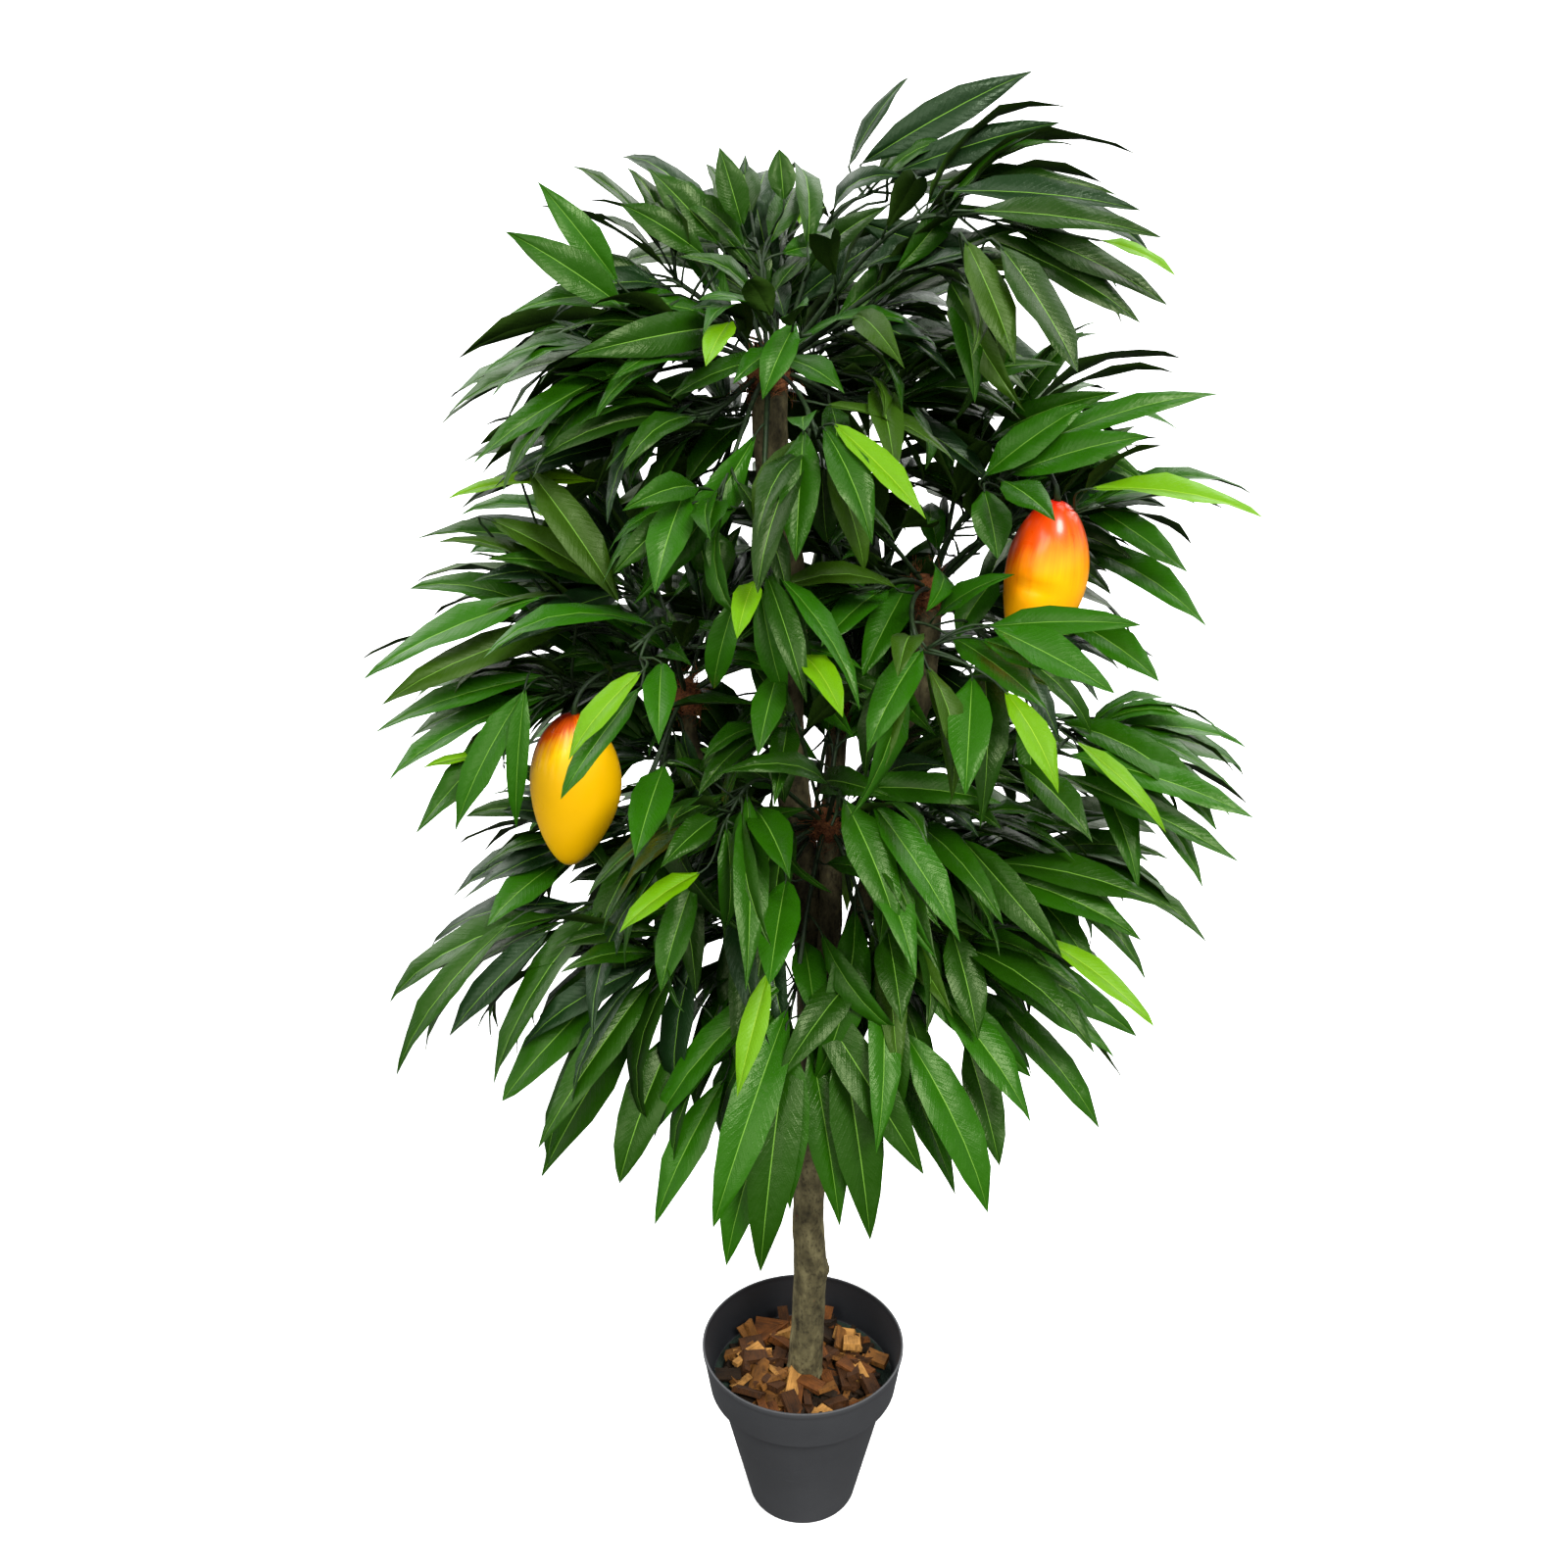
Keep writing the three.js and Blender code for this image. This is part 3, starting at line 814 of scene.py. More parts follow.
@dataclass
class WoodChips:
    """Loose split chips strewn round the foot of the trunk, some of them leaning on the wall.

    The two lengths give the least, the most and the usual one. Angles are in degrees, and the
    weights say how often each finish comes up. Shreds are small chips that lie under the rest;
    most of them take the near-black brown, so the gaps between the chips show dark as painted shade.
    """

    pot: Pot
    level: float = 0.1312
    bed_radius: float = 0.0685
    edge_share: float = 0.15
    trunk_radius: float = 0.0175
    trunk_gap: float = 0.004
    count: int = 118
    shreds: int = 190
    length: tuple[float, float, float] = (0.011, 0.037, 0.021)
    shred_length: tuple[float, float, float] = (0.005, 0.016, 0.009)
    weights: tuple[int, ...] = (6, 4, 3, 2, 5)
    # Mostly the near-black brown, so that the gaps between the chips show dark: painted shade.
    shred_weights: tuple[int, ...] = (0, 1, 0, 9, 1)
    slimness: Span = (0.28, 0.64)
    widest: float = 0.021
    thickness: Span = (0.0026, 0.0068)
    broken: float = 0.045
    bow: float = 0.0008
    slant: float = 0.18
    lift: float = 0.002
    heap: float = 0.011
    heap_power: float = 1.3
    edge_fall: float = 0.5
    tilt: float = 13.0
    roll: float = 18.0
    leaning: float = 0.3
    leaning_tilt: Span = (35.0, 62.0)
    leaning_lift: float = 0.005
    wall_gap: float = 0.0009
    seed: int = 7

    def chip(self, bm: BMesh, rng: random.Random, place: Matrix, colour: int,
             lengths: tuple[float, float, float]) -> None:
        """Adds one chip: a split chunk with broken ends, which the pot's wall holds in.

        Args:
            bm: The mesh to add it to.
            rng: Source of random numbers.
            place: Where it lies, with its length along X.
            colour: Its material number.
            lengths: The least, the most and the usual length.
        """
        length = rng.triangular(*lengths)
        width = min(length * rng.uniform(*self.slimness), self.widest)
        thickness = rng.uniform(*self.thickness)
        first_vert, first_face = len(bm.verts), len(bm.faces)
        corners = bmesh.ops.create_cube(bm, size=1.0, calc_uvs=True)["verts"]
        long_edges = {edge for vert in corners for edge in vert.link_edges
                      if abs((edge.verts[0].co - edge.verts[1].co).x) > 0.5}
        bmesh.ops.subdivide_edges(bm, edges=list(long_edges), cuts=1, use_grid_fill=True)
        bm.verts.ensure_lookup_table()
        bm.faces.ensure_lookup_table()
        bow = rng.uniform(-self.bow, self.bow)
        slant = rng.uniform(-self.slant, self.slant) * width
        for vert in bm.verts[first_vert:]:
            rough = [1 + rng.uniform(-self.broken, self.broken) for _ in range(3)]
            x, y, z = vert.co
            along = x * length * rough[0] + y * slant
            lift = bow if abs(x) < 0.25 else 0.0
            vert.co = place @ Vector((along, y * width * rough[1], z * thickness * rough[2] + lift))
            inner = self.pot.inner_radius(vert.co.z) - self.wall_gap
            radius = math.hypot(vert.co.x, vert.co.y)
            if radius > inner:
                vert.co.x *= inner / radius
                vert.co.y *= inner / radius
        for face in bm.faces[first_face:]:
            face.material_index = colour

    def place(self, rng: random.Random, share: float) -> Matrix:
        """Picks where a chip lies.

        Args:
            rng: Source of random numbers.
            share: How high it lies in the heap, from 0 to 1.

        Returns:
            Its place, with its length along X.
        """
        near = self.trunk_radius + self.trunk_gap
        radius = math.sqrt(rng.uniform(near**2, self.bed_radius**2))
        turn = rng.uniform(0, 2 * math.pi)
        edge = max(0.0, radius / self.bed_radius - (1 - self.edge_share)) / self.edge_share
        leans = edge > 0 and rng.random() < self.leaning
        lift = self.lift + self.heap * share**self.heap_power * (1 - self.edge_fall * edge)
        tilt = rng.uniform(*self.leaning_tilt) if leans else rng.gauss(0, self.tilt)
        yaw = turn + math.pi if leans else rng.uniform(0, 2 * math.pi)
        spot = Vector((radius * math.cos(turn), radius * math.sin(turn), self.level + lift))
        if leans:
            spot += UP * self.leaning_lift
        return (Matrix.Translation(spot)
                @ Matrix.Rotation(yaw, 4, "Z")
                @ Matrix.Rotation(math.radians(tilt), 4, "Y")
                @ Matrix.Rotation(math.radians(rng.gauss(0, self.roll)), 4, "X"))

    def build(self) -> None:
        """Makes the bed of chips."""
        rng = random.Random(self.seed)
        bm = bmesh.new()
        bm.loops.layers.uv.new("grain")
        for i in range(self.shreds + self.count):
            lengths, weights = self.length, self.weights
            if i < self.shreds:
                lengths, weights = self.shred_length, self.shred_weights
            place = self.place(rng, max(i - self.shreds, 0) / self.count)
            colour = rng.choices(range(len(CHIP_FINISHES)), weights=weights)[0]
            self.chip(bm, rng, place, colour, lengths)
        bmesh.ops.recalc_face_normals(bm, faces=bm.faces)
        piece = make_piece("wood_chips_bed", bm, [finish.material() for finish in CHIP_FINISHES])
        for face in piece.data.polygons:
            face.use_smooth = False
        install(piece, ["chip_bed"])


# ---------- trunk, poles and coconut fibre ----------


@dataclass
class Knot:
    """A swelling or a small scar on a limb, at a height and at a heading in degrees."""

    height: float
    heading: float
    swell: float
    reach: float


@dataclass
class Limb:
    """The trunk or a side pole: a natural tapering stem with bark relief.

    Each row of line is x, y, z and radius, from the foot upwards. A grain says how often its
    part of the relief changes round the limb and up it.
    """

    name: str
    line: Sequence[tuple[float, float, float, float]]
    knots: Sequence[Knot] = ()
    sides: int = 40
    ring_step: float = 0.004
    flutes: float = 0.04
    flute_grain: Span = (1.7, 5.0)
    lumps: float = 0.055
    lump_grain: Span = (1.4, 42.0)
    cracks: float = 0.012
    crack_grain: Span = (7.0, 30.0)

    def at(self, height: float) -> tuple[Vector, float]:
        """Finds the centre line, on a smooth curve through the rows of line.

        Args:
            height: Where along it.

        Returns:
            The centre and the radius there.
        """
        line = self.line
        last = len(line) - 1
        k = min(max(sum(1 for p in line if p[2] <= height) - 1, 0), last - 1)
        a, b, c, d = (line[min(max(i, 0), last)] for i in (k - 1, k, k + 1, k + 2))
        t = min(max((height - b[2]) / (c[2] - b[2]), 0.0), 1.0)
        smooth = []
        for i in (0, 1, 3):
            spline = (2 * b[i] + (c[i] - a[i]) * t + (2 * a[i] - 5 * b[i] + 4 * c[i] - d[i]) * t * t
                      + (3 * b[i] - a[i] - 3 * c[i] + d[i]) * t**3)
            smooth.append(0.5 * spline)
        return Vector((smooth[0], smooth[1], height)), smooth[2]

    def end(self) -> tuple[Vector, float]:
        """The centre and the radius of the cut top."""
        return self.at(self.line[-1][2])

    def clear_of(self, place: Vector, gap: float) -> bool:
        """Tests a place against the bark.

        Args:
            place: The place.
            gap: How far from the bark it has to be.

        Returns:
            True if it is at least that far.
        """
        if not self.line[0][2] < place.z < self.line[-1][2] + gap:
            return True
        centre, radius = self.at(place.z)
        return (place - centre).length > radius + gap

    def bark(self, heading: float, height: float, radius: float) -> Vector:
        """Works out how far the bark stands out, with its flutes, lumps, cracks and knots.

        Args:
            heading: Which side of the limb, in degrees.
            height: How high up.
            radius: The limb's radius there.

        Returns:
            The way from the limb's centre to the bark.
        """
        out = aim(heading, 0)
        grains = (self.flute_grain, self.lump_grain, self.crack_grain)
        flute, lump, crack = (Vector((out.x * a, out.y * a, height * b)) for a, b in grains)
        relief = (1 + self.flutes * noise.noise(flute) + self.lumps * noise.fractal(lump, 0.9, 2.1, 4)
                  + self.cracks * noise.noise(crack))
        swelling = 0.0
        for knot in self.knots:
            turn = math.radians((heading - knot.heading + 180) % 360 - 180) * self.line[0][3]
            rise = height - knot.height
            swelling += knot.swell * math.exp(-(turn * turn + rise * rise) / (knot.reach * knot.reach))
        return out * (radius * relief + swelling)

    def build(self) -> bpy.types.Object:
        """Makes the limb, ring by ring.

        Returns:
            Its piece, which has no material yet.
        """
        bm = bmesh.new()
        foot, top = self.line[0][2], self.line[-1][2]
        rings = max(int((top - foot) / self.ring_step), 2)
        made = bmesh.ops.create_circle(bm, cap_ends=True, segments=self.sides, radius=1.0)
        ring = made["verts"]
        for k in range(rings + 1):
            height = foot + (top - foot) * k / rings
            centre, radius = self.at(height)
            for i, vert in enumerate(ring):
                vert.co = centre + self.bark(360 * i / self.sides, height, radius)
            if k < rings:
                edges = list({e for v in ring for e in v.link_edges if all(w in ring for w in e.verts)})
                grown = bmesh.ops.extrude_edge_only(bm, edges=edges)["geom"]
                fresh = {v for v in grown if isinstance(v, bmesh.types.BMVert)}
                ring = [next(w for w in (e.other_vert(v) for e in v.link_edges) if w in fresh) for v in ring]
        lid = bmesh.ops.contextual_create(bm, geom=ring)["faces"]
        bmesh.ops.poke(bm, faces=lid)
        bmesh.ops.recalc_face_normals(bm, faces=bm.faces)
        return make_piece(self.name + "_bark", bm, [])


@dataclass
class CoirTuft:
    """Coconut fibre wound over the cut end of a limb, as a lumpy core under loose fibres.

    Stray is the share of the fibres that stand out of the tuft. The others are wound round it.
    """

    limb: Limb
    seed: int
    reach: float = 0.009
    overlap: float = 0.016
    girth: float = 0.0036
    lumps: float = 0.1
    lump_scale: float = 3.0
    squareness: float = 0.7
    fibres: int = 300
    stray: float = 0.16
    highest: float = 0.8
    layer: Span = (0.55, 1.05)
    closing: float = 0.5
    winding: Span = (0.2, 1.0)
    climb: Span = (-0.3, 0.9)
    wound_out: float = 0.05
    stray_out: float = 0.9
    step: Span = (0.0022, 0.0042)
    stray_step: float = 0.8
    bends: int = 6
    bend: float = 0.28
    thickness: Span = (0.00016, 0.00032)
    thinning: float = 0.1

    def core(self, bm: BMesh) -> None:
        """Adds the tuft's lumpy body.

        Args:
            bm: The mesh to add it to.
        """
        centre, radius = self.limb.end()
        made = bmesh.ops.create_icosphere(bm, subdivisions=4, radius=1.0)
        wide, tall = radius + self.girth, (self.reach + self.overlap) / 2
        middle = centre + UP * (self.reach - self.overlap) / 2
        for vert in made["verts"]:
            out = vert.co.copy()
            spot = out * self.lump_scale + Vector((self.seed, 0, 0))
            rough = 1 + self.lumps * noise.fractal(spot, 0.8, 2.2, 5)
            squared = Vector((out.x, out.y, math.copysign(abs(out.z) ** self.squareness, out.z)))
            vert.co = middle + Vector((squared.x * wide, squared.y * wide, squared.z * tall)) * rough

    def fibre(self, rng: random.Random) -> Run:
        """Bends one fibre.

        Args:
            rng: Source of random numbers.

        Returns:
            The fibre.
        """
        centre, radius = self.limb.end()
        turn = rng.uniform(0, 2 * math.pi)
        loose = rng.random() < self.stray
        height = rng.uniform(-self.overlap, self.reach * self.highest)
        girth = radius + self.girth * rng.uniform(*self.layer)
        shrink = 1 - self.closing * max(0.0, height / self.reach) ** 2
        x, y = math.cos(turn), math.sin(turn)
        place = centre + Vector((x * girth * shrink, y * girth * shrink, height))
        around = Vector((-y, x, 0.0)) * rng.choice((-1, 1))
        heading = around * rng.uniform(*self.winding) + UP * rng.uniform(*self.climb)
        heading = heading + Vector((x, y, 0.0)) * (self.stray_out if loose else self.wound_out)
        heading.normalize()
        step = rng.uniform(*self.step) * (self.stray_step if loose else 1.0)
        points = [place.copy()]
        for _ in range(self.bends):
            bend = Vector([rng.gauss(0, 1) for _ in range(3)]) * self.bend
            heading = (heading + bend).normalized()
            if not loose:
                flat = place - centre
                flat.z = 0.0
                heading = square_to(heading, flat.normalized())
            place = place + heading * step
            points.append(place.copy())
        thick = rng.uniform(*self.thickness)
        return Run(points, [thick * (1 - self.thinning * i) for i in range(len(points))])

    def strands(self) -> list[Run]:
        """All the loose fibres."""
        rng = random.Random(self.seed)
        return [self.fibre(rng) for _ in range(self.fibres)]


TRUNK_LINE = (
    (0.0015, 0.0, 0.13, 0.0166),
    (0.0025, 0.0, 0.146, 0.0151),
    (0.005, 0.0, 0.222, 0.0139),
    (0.006, 0.0, 0.251, 0.0142),
    (0.004, 0.0, 0.3, 0.0134),
    (0.006, 0.0, 0.4, 0.0132),
    (0.0075, 0.0, 0.495, 0.0136),
    (0.005, 0.0, 0.576, 0.0136),
    (-0.002, 0.0, 0.64, 0.0129),
    (-0.01, 0.0, 0.713, 0.0123),
    (-0.015, 0.0, 0.776, 0.012),
    (-0.012, 0.0, 0.835, 0.0119),
    (-0.013, 0.0, 0.88, 0.0118),
    (-0.021, 0.0, 0.927, 0.012),
    (-0.026, 0.0, 0.98, 0.0122),
    (-0.026, 0.0, 1.027, 0.0122),
)
TRUNK_KNOTS = (
    Knot(0.252, -12, 0.003, 0.007),
    Knot(0.262, -8, -0.0016, 0.004),
    Knot(0.33, -120, 0.0014, 0.008),
    Knot(0.405, -60, 0.0016, 0.006),
    Knot(0.52, 40, 0.0022, 0.009),
    Knot(0.56, -95, 0.002, 0.01),
    Knot(0.7, -80, 0.0018, 0.008),
    Knot(0.9, -100, 0.0016, 0.007),
    Knot(0.985, -70, 0.0018, 0.006),
)
POLE_LINES = {
    "pole_front": (
        (0.008, -0.009, 0.545, 0.0084),
        (0.016, -0.016, 0.57, 0.0088),
        (0.019, -0.019, 0.606, 0.0088),
        (0.0185, -0.017, 0.652, 0.0086),
        (0.015, -0.016, 0.69, 0.0084),
    ),
    "pole_right": (
        (0.012, 0.002, 0.515, 0.0095),
        (0.03, 0.005, 0.54, 0.0104),
        (0.059, 0.012, 0.657, 0.0102),
        (0.0735, 0.018, 0.737, 0.01),
        (0.0855, 0.02, 0.784, 0.0099),
        (0.0885, 0.02, 0.862, 0.0097),
    ),
    "pole_left": (
        (-0.002, 0.0, 0.585, 0.0065),
        (-0.024, 0.004, 0.606, 0.007),
        (-0.061, 0.008, 0.667, 0.0066),
        (-0.085, 0.01, 0.741, 0.006),
        (-0.088, 0.01, 0.784, 0.0058),
    ),
    "pole_back": (
        (0.005, 0.004, 0.53, 0.0085),
        (0.01, 0.022, 0.56, 0.0088),
        (0.018, 0.045, 0.64, 0.0084),
        (0.024, 0.062, 0.715, 0.008),
        (0.025, 0.066, 0.745, 0.0078),
    ),
}


FIRST_TUFT_SEED = 40


class Obstacle(Protocol):
    """Something that leaves keep clear of."""

    def clear_of(self, place: Vector, gap: float) -> bool:
        """True if a place is at least that far from its surface."""


class Framework:
    """The wooden trunk and poles, with their tufts of coconut fibre."""

    def __init__(self) -> None:
        """Lists the limbs."""
        self.limbs = {"trunk": Limb("trunk", TRUNK_LINE, TRUNK_KNOTS)}
        for name, line in POLE_LINES.items():
            self.limbs[name] = Limb(name, line, sides=28, lumps=0.07)

    def build(self) -> None:
        """Makes the wood and the tufts."""
        bark = BARK_FINISH.material()
        coir = COIR_FINISH.material()
        for seed, (name, limb) in enumerate(self.limbs.items(), FIRST_TUFT_SEED):
            wood = limb.build()
            wood.data.materials.append(bark)
            install(wood, [name])
            tuft = CoirTuft(limb, seed)
            bm = bmesh.new()
            tuft.core(bm)
            install(make_piece(f"coir_core_{name}", bm, [coir]), ["coir_" + name])
            install(make_strands(f"coir_strands_{name}", tuft.strands(), coir, 0))


# ---------- fruit ----------


@dataclass
class Mango:
    """One mango on its stalk: a full shoulder, a narrower foot and a slight beak to one side.

    The skin is shaped on a ball of unit size, where the dent has a side and a height.
    """

    name: str
    sight: Sight
    finish: MangoFinish
    limb: str
    length: float
    width: float
    tilt: float
    depth: float = 0.058
    shoulder: float = 0.1
    narrowing: float = 0.24
    belly: float = 0.08
    beak: float = 0.4
    beak_start: float = 0.4
    dent: float = 0.0
    dent_place: Span = (-0.35, 0.06)
    dent_size: Span = (0.45, 0.07)
    lumps: float = 0.012
    lump_scale: float = 1.6
    stalk_steps: int = 12
    stalk_radius: float = 0.0021
    stalk_taper: float = 0.0004
    stalk_end: float = 0.0028
    centre: Vector = field(init=False)

    def __post_init__(self) -> None:
        """Finds the fruit's centre."""
        self.centre = VIEW.place(self.sight)

    def clear_of(self, place: Vector, gap: float) -> bool:
        """Tests a place against the skin.

        Args:
            place: The place.
            gap: About how far from the skin it has to be.

        Returns:
            True if it is at least that far.
        """
        off = Matrix.Rotation(-math.radians(self.tilt), 3, "Y") @ (place - self.centre)
        half = 0.5 * self.width + 2 * gap
        return Vector((off.x / half, off.y / half, off.z / (0.5 * self.length + gap))).length > 1

    def skin(self) -> BMesh:
        """Shapes the fruit's closed skin.

        Returns:
            A new bmesh, with a UV map round it and down it.
        """
        bm = bmesh.new()
        bm.loops.layers.uv.new("skin")
        bmesh.ops.create_uvsphere(bm, u_segments=56, v_segments=40, radius=1.0, calc_uvs=True)
        place = Matrix.Translation(self.centre) @ Matrix.Rotation(math.radians(self.tilt), 4, "Y")
        side, rise = self.dent_place
        wide, tall = self.dent_size
        for vert in bm.verts:
            x, y, z = vert.co
            down = (1 - z) / 2
            shoulder = self.shoulder * math.sin(math.pi * (1 - down)) * (1 - down)
            girth = 1 + shoulder - self.narrowing * down * down
            belly = self.belly * math.sin(math.pi * down) * max(x, 0.0)
            beak = self.beak * max(down - self.beak_start, 0.0) ** 2
            hollow = math.exp(-(((x - side) / wide) ** 2) - ((z - rise) / tall) ** 2) if y < 0 else 0.0
            shape = Vector((x * girth + belly - beak, y * girth, z)) * (1 - self.dent * hollow)
            lump = 1 + self.lumps * noise.noise(vert.co * self.lump_scale)
            sized = Vector((shape.x * self.width, shape.y * self.depth, shape.z * self.length))
            vert.co = place @ (sized * 0.5 * lump)
        bmesh.ops.recalc_face_normals(bm, faces=bm.faces)
        return bm

    def build(self, framework: Framework, stem: Material) -> None:
        """Makes the fruit and its stalk, which arches over from the limb's tuft.

        Args:
            framework: The limbs, one of which the stalk springs from.
            stem: The stalk's material.
        """
        install(make_piece(self.name, self.skin(), [self.finish.material()]))
        top = self.centre + Matrix.Rotation(math.radians(self.tilt), 3, "Y") @ (UP * self.length * 0.49)
        root, _ = framework.limbs[self.limb].end()
        reach = (top - root).length
        near = root + UP * reach * 0.45 + (top - root) * 0.15
        line = (root, near, top + UP * reach * 0.4, top - UP * 0.001)
        steps = self.stalk_steps
        points = [bezier(line, k / steps)[0] for k in range(steps + 1)]
        radii = [self.stalk_radius - self.stalk_taper * k / steps for k in range(steps)] + [self.stalk_end]
        install(make_strands(self.name + "_stalk", [Run(points, radii)], stem, 1))


MANGOES = (
    Mango("mango_left", (585, 806, -0.05),
          # The dark red-brown top and deep orange shoulder are partly the fruit's blush and partly painted
          # shade from the leaves above it.
          MangoFinish("mango_amber", srgb(76, 12, 2), srgb(180, 66, 0), srgb(255, 196, 0),
                      srgb(255, 192, 0), 0.34, 0.87),
          "pole_left", length=0.121, width=0.062, tilt=3.0, belly=0.13, beak=0.2),
    Mango("mango_right", (1065, 594, -0.05),
          MangoFinish("mango_blush", srgb(184, 20, 0), srgb(222, 76, 0), srgb(255, 170, 0),
                      srgb(255, 184, 0), 0.58, 0.82),
          "pole_right", length=0.117, width=0.0545, tilt=6.0, dent=0.1),
)


# ---------- leaves and their stems ----------


@dataclass(frozen=True)
class SprayPlan:
    """One spray of leaves. Those in CROWN stand for a solid each.

    The outermost leaves fan out from the hub round the heading, and roll tips the fan about it.
    Headings count from the right towards the back, in degrees. Fullness is the share of the usual
    leaves that lie off the fan.
    """

    name: str
    hub: Place
    heading: float
    pitch: float
    reach: float
    spread: float
    outer: int
    roll: float = 0.0
    fullness: float = 1.0


def planned(rows: dict[str, tuple[tuple, ...]]) -> dict[str, list[SprayPlan]]:
    """Turns the rows of each limb's sprays into plans."""
    return {limb: [SprayPlan(*row) for row in group] for limb, group in rows.items()}


CROWN = planned({
    "trunk": (
        ("top_right_high", (0.03, 0.022, 1.134), 10, 16, 0.116, 30, 3, 36, 0.25),
        ("top_right", (0.084, -0.032, 1.134), -3, -7, 0.156, 44, 7, 6),
        ("top_right_drop", (0.098, -0.046, 1.098), -42, -47, 0.112, 34, 5),
        ("top_centre", (-0.034, 0.018, 1.102), 104, 30, 0.092, 62, 5, 0, 0.1),
        ("top_left", (-0.062, -0.006, 1.068), 181, 20, 0.136, 38, 6, 0, 0.8),
        ("upper_left", (-0.11, -0.002, 1.034), 183, -8, 0.158, 46, 7),
        ("shoulder_left", (-0.09, -0.006, 0.978), 183, -4, 0.164, 42, 7),
        ("crown_right", (0.042, -0.032, 1.006), -20, -5, 0.14, 48, 7),
        ("crown_left", (-0.059, -0.08, 0.967), 238, -38, 0.122, 46, 6),
        ("front_top", (0.003, -0.1, 1.014), -74, -40, 0.13, 50, 7),
        ("front_centre", (-0.033, -0.1, 0.929), -98, -44, 0.13, 46, 6),
        ("top_back", (-0.018, 0.07, 1.088), 92, -3, 0.158, 52, 7, 0, 0.5),
        ("top_back_left", (-0.08, 0.066, 1.03), 140, -14, 0.158, 44, 6, 0, 0.8),
        ("top_back_right", (0.048, 0.07, 1.036), 44, -12, 0.158, 42, 6, 0, 0.8),
    ),
    "pole_right": (
        ("right_top", (0.124, 0.026, 0.966), 12, 18, 0.154, 42, 6),
        ("right_high", (0.17, -0.032, 0.936), -19, -12, 0.146, 52, 7),
        ("right_shoulder", (0.132, -0.026, 0.838), -16, -12, 0.13, 48, 6),
        ("right_middle", (0.19, -0.014, 0.762), -6, -21, 0.15, 48, 7, 8),
        ("front_right_high", (0.07, -0.114, 0.878), -72, -39, 0.136, 48, 7),
        ("centre_right", (0.054, -0.038, 0.886), 206, -12, 0.098, 48, 6),
        ("back_right_high", (0.122, 0.076, 0.902), 46, 2, 0.158, 46, 6),
        ("back_right", (0.124, 0.088, 0.806), 50, -24, 0.166, 44, 6),
    ),
    "pole_left": (
        ("left_top", (-0.122, -0.002, 0.868), 178, 26, 0.15, 42, 6),
        ("left_high", (-0.15, -0.026, 0.852), 186, -10, 0.166, 48, 7),
        ("left_middle", (-0.166, -0.024, 0.8), 198, -23, 0.156, 50, 7),
        ("front_left_high", (-0.109, -0.108, 0.874), -138, -36, 0.128, 46, 7),
        ("left_drop", (-0.122, -0.044, 0.722), 216, -41, 0.132, 38, 6),
        ("back_left_high", (-0.124, 0.072, 0.856), 140, 2, 0.158, 46, 6),
        ("back_left", (-0.122, 0.086, 0.762), 132, -24, 0.166, 44, 6),
    ),
    "pole_front": (
        ("front_right_low", (0.023, -0.116, 0.755), -84, -38, 0.138, 44, 7),
        ("front_left_low", (-0.047, -0.116, 0.762), -124, -39, 0.15, 44, 7),
        ("right_low", (0.138, -0.012, 0.66), -6, -18, 0.166, 46, 7),
        ("right_inner", (0.092, -0.054, 0.712), -38, -24, 0.146, 40, 6),
        ("skirt_right", (0.096, -0.062, 0.618), -26, -32, 0.174, 46, 7),
        ("skirt_front_right", (0.06, -0.086, 0.602), -47, -46, 0.184, 40, 6),
        ("skirt_front", (-0.008, -0.104, 0.601), -102, -52, 0.188, 44, 7),
        ("skirt_front_left", (-0.09, -0.084, 0.622), -150, -42, 0.188, 44, 7),
        ("skirt_left", (-0.159, -0.044, 0.632), 190, -38, 0.186, 40, 6),
        ("left_low", (-0.14, 0.016, 0.664), 176, -14, 0.146, 40, 6),
    ),
    "pole_back": (
        ("back_high", (0.014, 0.132, 0.872), 90, -8, 0.162, 50, 7),
        ("back_middle", (0.008, 0.132, 0.77), 96, -26, 0.168, 50, 7),
        ("back_right_low", (0.116, 0.07, 0.69), 34, -26, 0.168, 46, 7),
        ("back_left_low", (-0.108, 0.078, 0.702), 142, -26, 0.166, 44, 7),
        ("skirt_back_right", (0.078, 0.092, 0.61), 50, -42, 0.186, 42, 6),
        ("skirt_back_left", (-0.068, 0.096, 0.606), 132, -42, 0.186, 42, 6),
        ("skirt_back", (0.006, 0.112, 0.59), 91, -50, 0.186, 44, 6),
    ),
})
